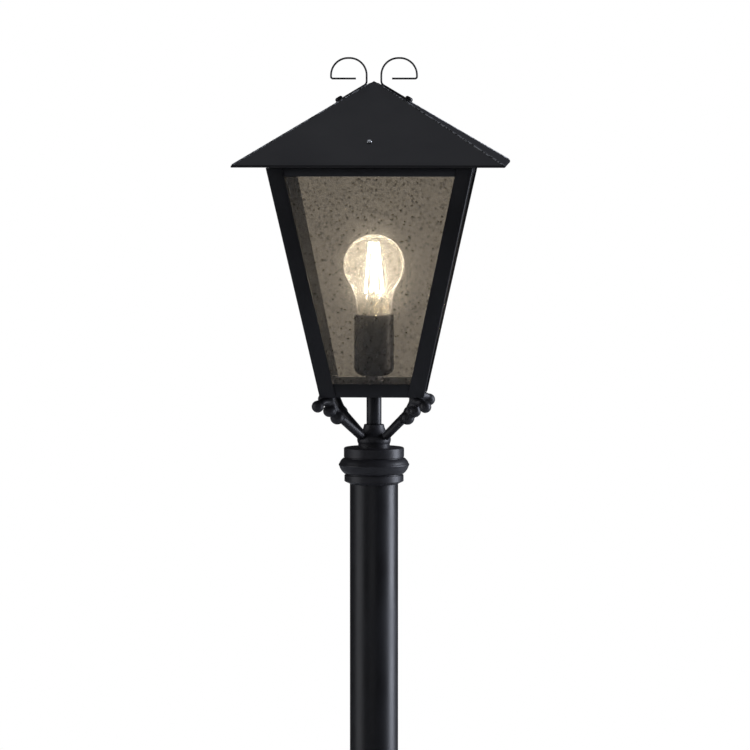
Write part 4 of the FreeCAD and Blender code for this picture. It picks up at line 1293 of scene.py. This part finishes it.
@dataclass
class Bulb:
    """The pear bulb: its envelope, glass stem, cap and four lit filaments on their wires."""

    radius: float = 30.5
    wall: float = 0.8
    neck_radius: float = 17.3
    neck_degrees: float = 33.0
    neck_rise: float = 6.0
    neck_steps: int = 10
    crown_steps: int = 36
    seat_radius: float = 12.7
    seat_depth: float = 3.0
    cap_radius: float = 13.2
    cap_wall: float = 0.4
    cap_bead_hole: float = 7.8
    cap_bead_wall: float = 0.5
    thread_start: float = 3.4
    thread_root: float = 0.2
    thread_share: float = 0.42
    thread_steps: int = 48
    thread_pitch: float = 3.6
    thread_height: float = 0.55
    thread_turns: float = 3.5
    edge_mm: float = 0.3
    tip_edge_mm: float = 0.2

    def pear(self, inset: float) -> list[tuple[float, float]]:
        """Give the pear's outline from the neck to the crown, set in by a wall."""
        angle = math.radians(self.neck_degrees)
        flare = (self.radius * math.cos(angle) - self.neck_radius) / (1 - math.cos(angle))
        neck_top = levels("bulb_cap")[1] + self.neck_rise
        centre = neck_top + (flare + self.radius) * math.sin(angle)
        bends = [angle * step / self.neck_steps for step in range(self.neck_steps + 1)]
        neck = [(self.neck_radius + flare - (flare + inset) * math.cos(bend),
                 neck_top + (flare + inset) * math.sin(bend)) for bend in bends]
        globe, reach = self.radius - inset, math.pi / 2 + angle
        rises = [reach * step / self.crown_steps - angle for step in range(1, self.crown_steps)]
        crown = [(globe * math.cos(rise), centre + globe * math.sin(rise)) for rise in rises]
        return neck + crown + [(0, centre + globe)]

    def envelope(self) -> BMesh:
        """Turn the envelope with its outer and inner walls, from the seat in the cap up."""
        radius, seat = self.seat_radius, levels("bulb_cap")[1]
        shape = Profile().to(radius - self.wall, seat - self.seat_depth).to(radius, seat - self.seat_depth)
        shape.to(radius, seat).to(radius + 1.6, seat + 0.5).to(radius + 3.5, seat + 2.6)
        shape.points += self.pear(0) + self.pear(self.wall)[::-1]
        shape.to(radius + 2.8, seat + 3.2).to(radius - self.wall, seat + self.wall)
        return turned(shape)

    def cap(self) -> BMesh:
        """Turn the cap a little under size and lay its thread round it."""
        low, top = levels("bulb_cap")
        body = self.cap_radius - self.thread_height
        inner, hole, floor = body - self.cap_wall, self.cap_bead_hole, low + self.cap_bead_wall
        shape = Profile().to(hole, low).to(body - 1.6, low).to(body, low + 2.6).to(body, top - 3.2)
        shape.to(self.cap_radius, top - 2.4).to(self.cap_radius, top).to(self.seat_radius, top)
        shape.to(self.seat_radius, top - 2.6).to(inner, top - 3.4).to(inner, low + 3.0)
        shape.to(inner - 1.8, floor).to(hole, floor)
        return join(turned(shape), self.thread(low + self.thread_start, body))

    def thread(self, start: float, body: float) -> BMesh:
        """Spin a rounded ridge up the cap.

        Args:
            start: the ridge's lowest level.
            body: the cap's radius under the ridge.

        Returns:
            The ridge.
        """
        bm = bmesh.new()
        half, root = self.thread_pitch * self.thread_share, body - self.thread_root
        ridge = Profile().to(root, start - half).to(body, start - half)
        ridge.arc(body, start + half, -self.thread_height / half, 8).to(root, start + half)
        first = bm.faces.new([bm.verts.new((across * MM, 0, up * MM)) for across, up in ridge.points])
        steps = int(self.thread_steps * self.thread_turns)
        lift = Vector((0, 0, self.thread_pitch * MM * self.thread_turns / steps))
        bmesh.ops.spin(bm, geom=[first], cent=(0, 0, 0), axis=UP, dvec=lift,
                       angle=math.tau * self.thread_turns, steps=steps, use_merge=False)
        tidy(bm)
        return bm

    def build(self) -> None:
        """Make the bulb's pieces."""
        Piece("pear_envelope", Finish.BULB, Body.BULB, ["bulb_glass"]).make(self.envelope())
        Piece("glass_stem", Finish.BULB, Body.BULB, ["bulb_stem"]).rounded(self.edge_mm)
        Piece("threaded_cap", Finish.NICKEL, Body.BULB, ["bulb_cap"]).make(self.cap())
        Piece("cap_bead", Finish.VITRITE, Body.BULB, ["bulb_cap_insulator"]).rounded(self.edge_mm)
        Piece("cap_tip", Finish.NICKEL, Body.BULB, ["bulb_contact"]).rounded(self.tip_edge_mm)
        Piece("lit_filaments", Finish.PHOSPHOR, Body.BULB, ["bulb_filaments"]).rounded(self.edge_mm)
        wires = "bulb_support_wires"
        Piece("lead_wires", Finish.LEAD_WIRE, Body.BULB, [wires]).make(copy_of(wires))


def main() -> None:
    """Build the studio and every sub-assembly."""
    logging.basicConfig(level=logging.INFO, format="%(name)s %(message)s")
    for part in (Studio(), Foot(), CollarAndHub(), Arms(), Casing(), Roof(), Lampholder(), Bulb()):
        LOG.info("building %s", type(part).__name__)
        part.build()


if __name__ == "__main__":
    main()
